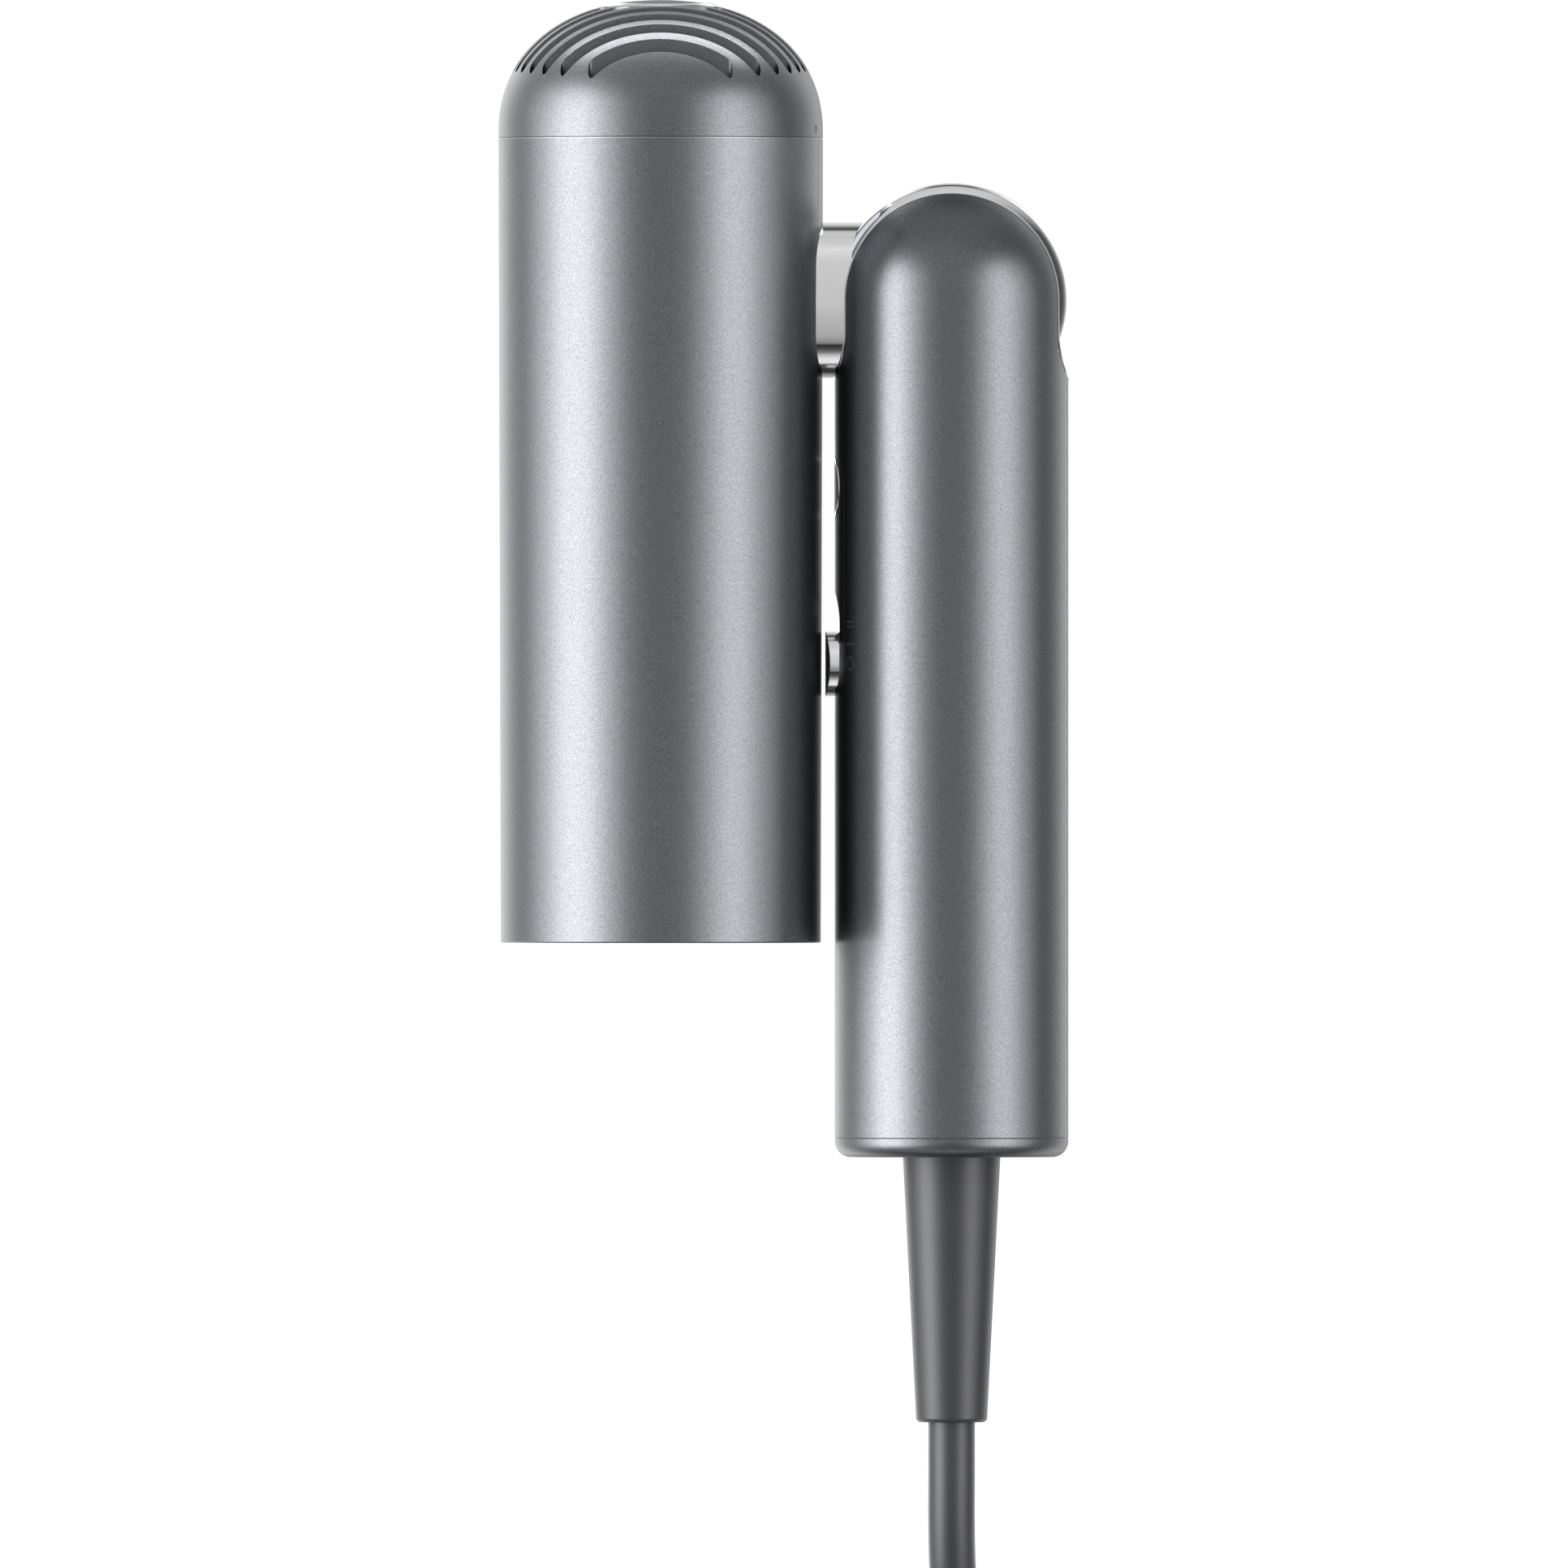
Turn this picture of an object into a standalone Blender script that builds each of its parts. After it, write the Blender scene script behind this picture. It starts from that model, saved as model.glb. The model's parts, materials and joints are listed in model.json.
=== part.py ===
"""Folding travel hair dryer, folded shut and lying on its side on a table, with its mains lead coiled.

Frame: +Z up from the table, +Y along the barrel towards the air intake, +X from the barrel to the handle.
The origin is on the table, under the middle of the dryer without its lead.

Every size is in millimetres; the mesh functions scale it to metres. Most pieces are drawn in a station
frame: local x towards +X, local y up, and local z is the station, the distance down the dryer from the
crown of its intake cap (that is, along -Y).
"""

import math

import bmesh
import bpy
from mathutils import Matrix, Vector

MM = 0.001
GAP = 0.3  # between pieces that meet
FIT = 0.15  # between pieces that turn or slide on each other

# Driving dimensions
BARREL_R = 25.0
BARREL_END_R = 24.65
HANDLE_R = 18.0
AXIS_GAP = 44.8  # from the barrel's axis to the handle's
CORD_D = 7.2

# Stations down the dryer
SEAM_S = 21.25
HINGE_S = 46.25
OUTLET_S = 145.2
HANDLE_SEAM_S = 175.2
HANDLE_END_S = 178.2
RELIEF_END_S = 219.1

# Places
WIDTH = BARREL_R + AXIS_GAP + HANDLE_R
BARREL_X = BARREL_R - WIDTH / 2
HANDLE_X = WIDTH / 2 - HANDLE_R
TOP_Y = RELIEF_END_S / 2
HINGE_Y = TOP_Y - HINGE_S
MID_Z = BARREL_R

# Walls and bores
BARREL_BORE_R = 23.0
HANDLE_BORE_R = 16.1
DOME_H = 20.5
DOME_POWER = 2.2
DOME_INNER_H = 18.6

# Hinge
NECK_W = 13.6
NECK_H = 23.9
SLOT_W = 14.7
DISC_T = 14.0
DISC_POCKET_R = HANDLE_R + GAP
PIN_R = 3.5
WASHER_R = 8.0

# Intake slits
SLIT_PITCH = 3.07
SLIT_W = 1.9
SLIT_ROWS = 7
SLIT_END_R = 22.84
HUB_R = 9.0

# Controls, on the side of the handle that faces the barrel
PANEL_LOW_S, PANEL_HIGH_S, PANEL_W = 68.0, 109.4, 13.8
PANEL_BACK = -14.8
BUTTON_S, BUTTON_R = 75.1, 4.25
KNOB_S, KNOB_R, KNOB_TRAVEL = 102.25, 4.95, 6.1
KNOB_FACE_R = 19.45
KNOB_FLOOR = -16.0

# Mains lead: a coil of two layers of three turns, with the plug lying on it
COIL_X, COIL_Y = -18.1, -211.0
COIL_INNER_R, COIL_OUTER_R = 28.0, 58.1
COIL_LOW, COIL_HIGH = 0.05, 14.7
COIL_LAYER = 7.5  # top of the lower layer
LEAD_IN_R = 49.8  # inside of the outer turn where the lead joins the lower layer
TAIL_OUT_R = 47.4  # inside of the outer turn where it lifts off the upper layer
TAIL_ANGLE = 141.0
TIE_W = 10.0
PLUG_X, PLUG_Y, PLUG_Z = 8.0, -193.6, 27.2

# Routes of the lead's loose stretches, x, y, z: strain relief to coil, and coil to plug
LEAD_ROUTE = (
    (25.9, -109.95, 25.0), (25.9, -118.0, 24.7), (25.9, -126.0, 23.2), (26.2, -134.0, 20.6),
    (27.5, -142.0, 17.3), (29.5, -150.0, 13.8), (31.7, -158.0, 10.3), (33.8, -166.0, 7.2),
    (35.4, -174.0, 5.0), (36.3, -184.0, 3.8), (36.3, -194.0, 3.8), (36.3, -204.0, 3.8), (36.3, -210.7, 3.8),
)  # fmt: skip
TAIL_ROUTE = (
    (-57.6, -177.8, 11.1), (-51.4, -171.3, 11.5), (-44.1, -166.0, 12.7), (-36.0, -162.0, 14.4),
    (-27.2, -159.4, 16.6), (-18.6, -159.1, 18.8), (-9.9, -161.5, 21.1), (-2.3, -166.3, 23.3),
    (3.5, -173.1, 25.2), (7.0, -181.4, 26.5), (8.0, -188.9, 27.1), (8.0, -192.7, 27.2),
)  # fmt: skip

STATION = Matrix(((1, 0, 0), (0, 0, -1), (0, 1, 0)))  # columns: local x to +X, y to +Z, z to -Y
ALONG_X = Matrix(((0, 0, 1), (1, 0, 0), (0, 1, 0)))  # columns: local x to +Y, y to +Z, z to +X
ALONG_Z = Matrix.Identity(3)

bodies = {}


def place(turn, x, y, z):
    return Matrix.Translation(Vector((x, y, z)) * MM) @ turn.to_4x4()


IN_BARREL = place(STATION, BARREL_X, TOP_Y, MID_Z)
IN_HANDLE = place(STATION, HANDLE_X, TOP_Y, MID_Z)
ON_HINGE = place(ALONG_Z, HANDLE_X, HINGE_Y, MID_Z)


def side_of_handle(station):
    """A frame whose local z runs along +X from the handle's axis, at a station."""
    return place(ALONG_X, HANDLE_X, TOP_Y - station, MID_Z)


def clear_scene():
    for obj in list(bpy.data.objects):
        bpy.data.objects.remove(obj)


def look(name, colour, roughness, metallic):
    """A material of one colour."""
    material = bpy.data.materials.new(name)
    material.use_nodes = True
    shader = material.node_tree.nodes["Principled BSDF"]
    shader.inputs["Base Color"].default_value = (*colour, 1.0)
    shader.inputs["Roughness"].default_value = roughness
    shader.inputs["Metallic"].default_value = metallic
    return material


def add_body(name, x, y, z):
    """An empty on a body's joint axis, which the body's pieces hang from."""
    empty = bpy.data.objects.new(name + "_pivot", None)
    bpy.context.scene.collection.objects.link(empty)
    empty.location = Vector((x, y, z)) * MM
    bpy.context.view_layer.update()
    bodies[name] = empty


def add(name, bm, where, material, body):
    """Turns a bmesh in millimetres into an object in metres."""
    bmesh.ops.recalc_face_normals(bm, faces=bm.faces)
    bmesh.ops.scale(bm, vec=(MM, MM, MM), verts=bm.verts)
    mesh = bpy.data.meshes.new(name)
    bm.to_mesh(mesh)
    bm.free()
    mesh.shade_smooth()
    mesh.set_sharp_from_angle(angle=math.radians(35))
    obj = bpy.data.objects.new(name, mesh)
    bpy.context.scene.collection.objects.link(obj)
    if material:
        mesh.materials.append(material)
    if body:
        obj.parent = bodies[body]
        obj.matrix_parent_inverse = bodies[body].matrix_world.inverted()
    obj.matrix_basis = where
    if not body:
        obj.hide_render = True
        obj.display_type = "WIRE"
    return obj


def turned(name, outline, where, material=None, body=None, segments=48):
    """A solid turned about local z from a closed outline of (radius, height) points."""
    bm = bmesh.new()
    columns = []
    for radius, height in outline:
        if radius == 0:
            columns.append([bm.verts.new((0, 0, height))] * segments)
            continue
        angles = [2 * math.pi * k / segments for k in range(segments)]
        columns.append([bm.verts.new((radius * math.cos(a), radius * math.sin(a), height)) for a in angles])
    for first, second in zip(columns, columns[1:] + columns[:1]):
        for k in range(segments):
            n = (k + 1) % segments
            corners = list(dict.fromkeys((first[k], first[n], second[n], second[k])))
            if len(corners) > 2:
                bm.faces.new(corners)
    return add(name, bm, where, material, body)


def add_prism(bm, outline, low, high):
    bottom = [bm.verts.new((x, y, low)) for x, y in outline]
    top = [bm.verts.new((x, y, high)) for x, y in outline]
    bm.faces.new(bottom)
    bm.faces.new(top)
    for k in range(len(outline)):
        n = (k + 1) % len(outline)
        bm.faces.new((bottom[k], bottom[n], top[n], top[k]))


def prism(name, outline, low, high, where, material=None, body=None):
    """A closed outline of (x, y) points, extruded along local z."""
    bm = bmesh.new()
    add_prism(bm, outline, low, high)
    return add(name, bm, where, material, body)


def prisms(name, parts, where):
    """Several separate prisms as one cutter or one shape to fuse: (outline, low, high) each."""
    bm = bmesh.new()
    for outline, low, high in parts:
        add_prism(bm, outline, low, high)
    return add(name, bm, where, None, None)


def hollow_prism(name, outer, inner, low, high, where, material, body):
    """A prism with a hole: both outlines have the same number of points."""
    bm = bmesh.new()
    corners = ((outer, low), (outer, high), (inner, high), (inner, low))
    loops = [[bm.verts.new((x, y, z)) for x, y in line] for line, z in corners]
    for first, second in zip(loops, loops[1:] + loops[:1]):
        for k in range(len(outer)):
            n = (k + 1) % len(outer)
            bm.faces.new((first[k], first[n], second[n], second[k]))
    return add(name, bm, where, material, body)


def boolean(target, operation, tools):
    for tool in tools:
        modifier = target.modifiers.new(operation.lower(), "BOOLEAN")
        modifier.operation = operation
        modifier.solver = "EXACT"
        modifier.object = tool


def cut(target, *tools):
    boolean(target, "DIFFERENCE", tools)


def fuse(target, *tools):
    boolean(target, "UNION", tools)


def keep_common(target, *tools):
    boolean(target, "INTERSECT", tools)


def arc(x, y, radius, start, end, steps):
    """Points on an arc, in degrees."""
    angles = [math.radians(start + (end - start) * k / steps) for k in range(steps + 1)]
    return [(x + radius * math.cos(a), y + radius * math.sin(a)) for a in angles]


def rectangle(low_x, high_x, low_y, high_y):
    return [(low_x, low_y), (high_x, low_y), (high_x, high_y), (low_x, high_y)]


def stadium(half_x, half_y, steps=8):
    """A slot outline with round ends, longer along x."""
    reach = half_x - half_y
    return arc(reach, 0, half_y, -90, 90, steps) + arc(-reach, 0, half_y, 90, 270, steps)


def sector(inner, outer, low, high, steps=3):
    """A piece of a ring between two angles, in degrees."""
    return arc(0, 0, outer, low, high, steps) + arc(0, 0, inner, high, low, steps)


def dome(radius, height, steps, from_radius=0.0):
    """(radius, station) points of the intake dome, from its crown or a radius on it out to its widest."""
    points = []
    for k in range(steps + 1):
        tilt = math.radians(90 * (1 - k / steps))
        r = radius * math.cos(tilt) ** (2 / DOME_POWER) if k else 0.0
        if r < from_radius:
            continue
        points.append((r, DOME_H - height * math.sin(tilt) ** (2 / DOME_POWER)))
    if from_radius:
        share = 1 - (from_radius / radius) ** DOME_POWER
        points.insert(0, (from_radius, DOME_H - height * share ** (1 / DOME_POWER)))
    return points


def ring(inner, outer, low, high):
    return [(inner, low), (outer, low), (outer, high), (inner, high)]


# ---------------------------------------------------------------- barrel



def rod(radius, low, high):
    """A solid cylinder's outline."""
    return [(0, low), (radius, low), (radius, high), (0, high)]


def rotated(outline, angle):
    c, s = math.cos(angle), math.sin(angle)
    return [(x * c - y * s, x * s + y * c) for x, y in outline]


def ball_top(radius, steps):
    """(radius, station) points of a round top, centred on the hinge."""
    angles = [math.pi / 2 * k / steps for k in range(steps + 1)]
    return [(radius * math.sin(a), HINGE_S - radius * math.cos(a)) for a in angles]


def slit_boxes():
    """The intake's slits: straight, parallel, ending on one circle and stopping at the hub."""
    boxes = []
    for row in range(SLIT_ROWS):
        for side in (-1, 1):
            middle = side * (row + 0.5) * SLIT_PITCH
            end = math.sqrt(SLIT_END_R**2 - middle**2)
            low, high = middle - SLIT_W / 2, middle + SLIT_W / 2
            inside = HUB_R + 0.6
            if abs(middle) > inside:
                boxes.append((rectangle(-end, end, low, high), -2, 12.3))
                continue
            start = math.sqrt(inside**2 - middle**2)
            boxes.append((rectangle(start, end, low, high), -2, 12.3))
            boxes.append((rectangle(-end, -start, low, high), -2, 12.3))
    return boxes


def make_intake_cap():
    outer = dome(BARREL_R, DOME_H, 7, HUB_R)
    inner = dome(BARREL_BORE_R, DOME_INNER_H, 6)
    skirt = [(BARREL_R, SEAM_S - GAP / 2), (BARREL_BORE_R, SEAM_S - GAP / 2)]
    outline = [(0, 1.4), (HUB_R, 1.4)] + outer + skirt + inner[::-1]
    cap = turned("intake_cap", outline, IN_BARREL, GREY_METAL, "intake_cap", segments=32)
    cut(cap, prisms("slit_cutter", slit_boxes(), IN_BARREL))
    rim = [(7.1, 1.1), (7.1, 0.4), (7.5, 0.15), (8.2, 0.2), (8.75, 0.7), (8.75, 1.1)]
    turned("cap_ring", rim, IN_BARREL, CHROME, "intake_cap", segments=36)
    button = [(0, 1.1), (0, 0), (4.0, 0.1), (6.4, 0.4), (6.8, 0.7), (6.8, 1.1)]
    turned("cap_disc", button, IN_BARREL, DARK_PLASTIC, "intake_cap", segments=36)


LUG_ANGLES = (30, 150, 270)
LUG_HALF = 7
TWIST = 20
LUG_LOW_S, LUG_HIGH_S = 24.6, 26.4


def make_filter():
    """The collar that twists out of the barrel's rear end, and the domed mesh that it carries."""
    collar = turned("filter_collar", ring(20.9, 22.4, 18.8, 27.2), IN_BARREL, DARK_PLASTIC, "filter_collar")
    lugs = [(sector(21.9, 23.8, a - LUG_HALF, a + LUG_HALF), LUG_LOW_S, LUG_HIGH_S) for a in LUG_ANGLES]
    fuse(collar, prisms("lugs", lugs, IN_BARREL))
    outer, inner = dome(22.3, 17.9, 5), dome(21.5, 17.1, 5)
    foot = [(22.3, 18.3), (21.5, 18.3)]
    outline = [p for p in outer if p[1] < 18.2] + foot + [p for p in inner if p[1] < 18.2][::-1]
    turned("filter_mesh", outline, IN_BARREL, MESH_GREY, "filter_collar", segments=28)


def make_barrel_shell():
    chamfer = 0.3
    outline = [
        (BARREL_R, SEAM_S + GAP / 2),
        (BARREL_END_R, OUTLET_S - chamfer),
        (BARREL_END_R - chamfer, OUTLET_S),
        (BARREL_BORE_R, OUTLET_S),
        (BARREL_BORE_R, SEAM_S + GAP / 2),
    ]
    shell = turned("barrel_shell", outline, IN_BARREL, GREY_METAL, "barrel", segments=48)
    neck_hole = prism("neck_hole", stadium(NECK_H / 2 + GAP, NECK_W / 2 + GAP), 15, 30, NECK_FRAME)
    channel = prism("spine_channel", rectangle(15, 30, -6.3, 6.3), SEAM_S - 3, HINGE_S - 4, IN_BARREL)
    grooves = []
    for angle in LUG_ANGLES:
        low, high = angle - LUG_HALF - 1, angle + TWIST + LUG_HALF + 1
        grooves.append((sector(22.5, 24.05, low, high, 4), LUG_LOW_S - GAP, LUG_HIGH_S + GAP))
    entries = []
    for angle in LUG_ANGLES:
        low, high = angle + TWIST - LUG_HALF - 1, angle + TWIST + LUG_HALF + 1
        entries.append((sector(22.6, 24.05, low, high), SEAM_S - 1, LUG_HIGH_S))
    cut(shell, neck_hole, channel)
    cut(shell, prisms("grooves", grooves, IN_BARREL), prisms("entries", entries, IN_BARREL))
    half = math.degrees(math.asin(6.1 / BARREL_R))
    strip = prism("spine_cover", sector(BARREL_BORE_R + 0.05, BARREL_R - 0.03, -half, half, 6),
                  SEAM_S + GAP, HINGE_S - 4.5, IN_BARREL, GREY_METAL, "barrel")  # fmt: skip
    cut(strip, neck_hole)


# Local x along the dryer, y up and z from the barrel's axis towards the handle
NECK_FRAME = place(ALONG_X, BARREL_X, HINGE_Y, MID_Z)


def make_inner_frame():
    """The skeleton in the barrel: a bellmouth, the motor's tube and two flanges that centre it."""
    bell = [(21.2, 28.0), (18.2, 28.6), (16.0, 30.2), (14.6, 32.6), (14.2, 35.4), (17.9, 35.4)]
    outline = bell + [(17.9, 76), (22.7, 76), (22.7, 74), (19.2, 74), (19.2, 30), (22.7, 30), (22.7, 28)]
    turned("inner_frame", outline, IN_BARREL, WHITE_PLASTIC, "barrel", segments=28)


def make_motor():
    turned("motor_sleeve", ring(16.0, 17.7, 36, 66), IN_BARREL, RUBBER, "barrel", segments=24)
    tube_outline = ring(14.2, 15.8, 36.2, 65.8)
    housing = turned("motor_housing", tube_outline, IN_BARREL, ALUMINIUM, "barrel", segments=24)
    hub = [(8.5, 48), (8.5, 65.6), (4.5, 65.6), (4.5, 62.2), (7.0, 62.2), (7.0, 51.2), (4.5, 51.2), (4.5, 48)]
    vanes = []
    for k in range(7):
        a, across = 2 * math.pi * k / 7, 0.45
        ends = [(7.9, -across), (14.9, -across), (14.9, across), (7.9, across)]
        vanes.append((rotated(ends, a), 49, 63))
    fuse(housing, prisms("vanes", vanes, IN_BARREL), turned("motor_hub", hub, IN_BARREL, segments=28))
    turned("stator_core", ring(4.5, 6.7, 52, 61.4), IN_BARREL, STEEL, "barrel", segments=24)
    for name, low in (("rear_bearing", 48.2), ("front_bearing", 62.6)):
        turned(name, ring(1.7, 4.2, low, low + 2.8), IN_BARREL, STEEL, "barrel", segments=20)
    turned("motor_board", ring(4.8, 13.8, 66.6, 67.8), IN_BARREL, BOARD_GREEN, "barrel", segments=24)


def make_rotor():
    """The impeller, shaft and magnet, which spin together."""
    turned("rotor_shaft", rod(1.4, 38, 66.2), IN_BARREL, STEEL, "rotor", segments=16)
    turned("rotor_magnet", ring(1.7, 4.1, 52.4, 61.2), IN_BARREL, STEEL, "rotor", segments=20)
    spinner = [(1.7, 46.8), (6.6, 46.8), (6.3, 42), (4.8, 39.2), (2.6, 38.2), (1.7, 38.1)]
    impeller = turned("impeller", spinner, IN_BARREL, ALUMINIUM, "rotor", segments=24)
    bm = bmesh.new()
    for k in range(9):
        corners = []
        for radius in (5.0, 13.75):
            for station, lead in ((39.8, 0.0), (46.2, 32.0)):
                a = math.radians(40 * k + lead * (1.15 if radius > 10 else 1.0))
                across = Vector((-math.sin(a), math.cos(a), 0)) * 0.35
                at = Vector((radius * math.cos(a), radius * math.sin(a), station))
                corners.append((bm.verts.new(at - across), bm.verts.new(at + across)))
        (in_top, in_low, out_top, out_low) = corners
        for face in (
            (in_top[0], in_low[0], out_low[0], out_top[0]),
            (in_top[1], out_top[1], out_low[1], in_low[1]),
            (in_top[0], out_top[0], out_top[1], in_top[1]),
            (in_low[0], in_low[1], out_low[1], out_low[0]),
            (in_top[0], in_top[1], in_low[1], in_low[0]),
            (out_top[0], out_low[0], out_low[1], out_top[1]),
        ):
            bm.faces.new(face)
    bmesh.ops.triangulate(bm, faces=bm.faces)
    fuse(impeller, add("blades", bm, IN_BARREL, None, None))


def make_heater():
    turned("heater_sleeve", ring(20.5, 21.4, 79, 126), IN_BARREL, MICA, "barrel", segments=28)
    frame = prism("heater_frame", rectangle(-18.6, 18.6, -0.45, 0.45), 80, 124, IN_BARREL, MICA, "barrel")
    fuse(frame, prism("cross_plate", rectangle(-0.45, 0.45, -18.6, 18.6), 80.5, 123.5, IN_BARREL))
    helix("heater_coil", 19.4, 0.42, 6, 84, 120, IN_BARREL, STEEL, "barrel")
    turned("thermostat", [(0, 0), (4.5, 0), (4.5, 4.5), (0, 4.5)], IN_BARREL @ place(ALONG_Z, 7.5, 7.5, 98),
           STEEL, "barrel", segments=20)  # fmt: skip
    turned("thermal_fuse", [(0, 0), (1.7, 0), (1.7, 11), (0, 11)], IN_BARREL @ place(ALONG_Z, -7.5, 7.5, 95),
           WHITE_PLASTIC, "barrel", segments=12)  # fmt: skip


def helix(name, radius, wire, turns, low, high, where, material, body, around=12, sides=4):
    """A wire wound about local z."""
    bm = bmesh.new()
    count = turns * around
    rings = []
    for k in range(count + 1):
        a = 2 * math.pi * k / around
        station = low + (high - low) * k / count
        out = Vector((math.cos(a), math.sin(a), 0))
        up = Vector((0, 0, 1))
        middle = out * radius + up * station
        loop = []
        for s in range(sides):
            b = 2 * math.pi * s / sides
            loop.append(bm.verts.new(middle + out * wire * math.cos(b) + up * wire * math.sin(b)))
        rings.append(loop)
    for first, second in zip(rings, rings[1:]):
        for s in range(sides):
            n = (s + 1) % sides
            bm.faces.new((first[s], first[n], second[n], second[s]))
    bm.faces.new(rings[0])
    bm.faces.new(rings[-1])
    return add(name, bm, where, material, body)


def make_outlet():
    """The grille that guards the heater, the lit ring and the ring that holds a nozzle on."""
    rim = ring(20.4, 22.7, 130, 136)
    grille = turned("outlet_grille", rim, IN_BARREL, DARK_PLASTIC, "barrel", segments=32)
    cone = [(0, 128.5), (4.0, 129.5), (6.2, 132.0), (6.2, 135.4), (5.4, 136.0), (0, 136.0)]
    spokes = []
    for k in range(8):
        a, across = 2 * math.pi * k / 8, 0.45
        ends = [(5.0, -across), (21.4, -across), (21.4, across), (5.0, across)]
        spokes.append((rotated(ends, a), 131, 135))
    rings = turned("grille_ring", ring(12.8, 13.7, 130.8, 135.2), IN_BARREL, segments=28)
    fuse(grille, turned("grille_cone", cone, IN_BARREL, segments=20), rings)
    for k in range(4):
        first, second = spokes[k], spokes[k + 4]
        bar = first[0][1:3] + second[0][1:3]
        fuse(grille, prism(f"spoke_{k}", bar, 131, 135, IN_BARREL))
    turned("light_ring", ring(20.6, 22.6, 136.5, 139.6), IN_BARREL, LENS, "barrel", segments=36)
    turned("nozzle_magnet_ring", ring(20.6, 22.7, 140, 143.8), IN_BARREL, STEEL, "barrel", segments=32)


# ---------------------------------------------------------------- hinge


def make_hinge_arm():
    """The bright arm: a round disc between the handle's two ears, and a neck that enters the barrel."""
    half, edge = DISC_T / 2, 0.6
    outline = [(0, -half), (HANDLE_R - edge, -half), (HANDLE_R, edge - half)]
    outline += [(HANDLE_R, half - edge), (HANDLE_R - edge, half), (0, half)]
    arm = turned("hinge_arm", outline, ON_HINGE, CHROME, "barrel", segments=48)
    neck = prism("neck", stadium(NECK_H / 2, NECK_W / 2, 10), 19.8, AXIS_GAP - 6, NECK_FRAME)
    flange = prism("neck_flange", rectangle(-15.0, 14.6, -8.2, 8.2), 19.6, 21.2, NECK_FRAME)
    wire_way = turned("wire_way", rod(2.8, 10, AXIS_GAP), NECK_FRAME, segments=16)
    pin_bore = turned("pin_bore", rod(PIN_R + FIT, -20, 20), ON_HINGE, segments=28)
    seats = []
    for name, low, high in (("seat_low", -half - 2, 1.0 - half), ("seat_high", half - 1.0, half + 2)):
        seats.append(turned(name, rod(WASHER_R + 0.2, low, high), ON_HINGE, segments=28))
    fuse(arm, neck, flange)
    cut(arm, pin_bore, wire_way, *seats)


def make_hinge_fork():
    """The load-bearing fork inside the handle, which holds the pin in its two ears."""
    outer = HANDLE_BORE_R - GAP
    cap = ball_top(outer, 6)
    cap[0] = (0, HINGE_S - outer)
    outline = cap + [(outer, 67.5), (0, 67.5)]
    fork = turned("hinge_fork", outline, IN_HANDLE, WHITE_PLASTIC, "handle", segments=32)
    bore = [(0, -13.2), (PIN_R + FIT, -13.2), (PIN_R + FIT, 13.2), (0, 13.2)]
    wires = [(0, 60), (3.2, 60), (3.2, 70), (0, 70)]
    cut(fork, slot_cutter(), pocket_cutter(), turned("fork_bore", bore, ON_HINGE, segments=28))
    cut(fork, turned("fork_wire_way", wires, IN_HANDLE, segments=16))
    pin = ring(2.2, PIN_R, -12.8, 12.8)
    turned("hinge_pin", pin, ON_HINGE, STEEL, "handle", segments=24)
    for name, low in (("friction_washer_lower", -7.2), ("friction_washer_upper", 6.2)):
        turned(name, ring(PIN_R + 0.4, WASHER_R, low, low + 1.0), ON_HINGE, STEEL, "handle", segments=24)


def slot_cutter():
    """The slot between the ears: open at the top, with a half-round floor, cut right through along x."""
    half = SLOT_W / 2
    floor = arc(-(HINGE_S + 4.8), 0, half, 90, 270, 8)
    outline = [(0, half)] + floor + [(0, -half)]
    return prism("slot_cutter", outline, -30, 30, place(ALONG_X, HANDLE_X, TOP_Y, MID_Z))


def pocket_cutter():
    """Room for the disc to turn in."""
    half = SLOT_W / 2 - 0.02
    outline = [(0, -half), (DISC_POCKET_R, -half), (DISC_POCKET_R, half), (0, half)]
    return turned("pocket_cutter", outline, ON_HINGE, segments=48)


# ---------------------------------------------------------------- handle


def make_handle_shell():
    outer, inner = ball_top(HANDLE_R, 7), ball_top(HANDLE_BORE_R, 6)
    outer[0], inner[0] = (0, HINGE_S - HANDLE_R), (0, HINGE_S - HANDLE_BORE_R)
    outline = outer + [(HANDLE_R, HANDLE_SEAM_S), (HANDLE_BORE_R, HANDLE_SEAM_S)] + inner[::-1]
    shell = turned("handle_shell", outline, IN_HANDLE, GREY_METAL, "handle", segments=48)
    middle, half = (PANEL_LOW_S + PANEL_HIGH_S) / 2, (PANEL_HIGH_S - PANEL_LOW_S) / 2
    window = prism("panel_window", stadium(half + 0.2, PANEL_W / 2 + 0.2), -25, -5, side_of_handle(middle))
    cut(shell, slot_cutter(), pocket_cutter(), window)


def make_control_panel():
    middle, half = (PANEL_LOW_S + PANEL_HIGH_S) / 2, (PANEL_HIGH_S - PANEL_LOW_S) / 2
    at_panel = side_of_handle(middle)
    inlay = stadium(half, PANEL_W / 2)
    panel = prism("control_panel", inlay, -20, PANEL_BACK, at_panel, GREY_METAL, "handle")
    skin = [(0, 60), (HANDLE_R - 0.03, 60), (HANDLE_R - 0.03, 120), (0, 120)]
    keep_common(panel, turned("panel_skin", skin, IN_HANDLE, segments=64))
    button_hole = turned("button_hole", rod(5.05, -25, -5), side_of_handle(BUTTON_S), segments=28)
    slot_middle = KNOB_S - KNOB_TRAVEL / 2
    at_slot = side_of_handle(slot_middle)
    pocket_outline = stadium(KNOB_R + KNOB_TRAVEL / 2 + 0.15, KNOB_R + 0.15)
    pocket = prism("knob_pocket", pocket_outline, -25, KNOB_FLOOR, at_slot)
    stem_slot = prism("stem_slot", stadium(1.9 + KNOB_TRAVEL / 2, 1.9), -25, -10, at_slot)
    cut(panel, button_hole, pocket, stem_slot)


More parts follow.
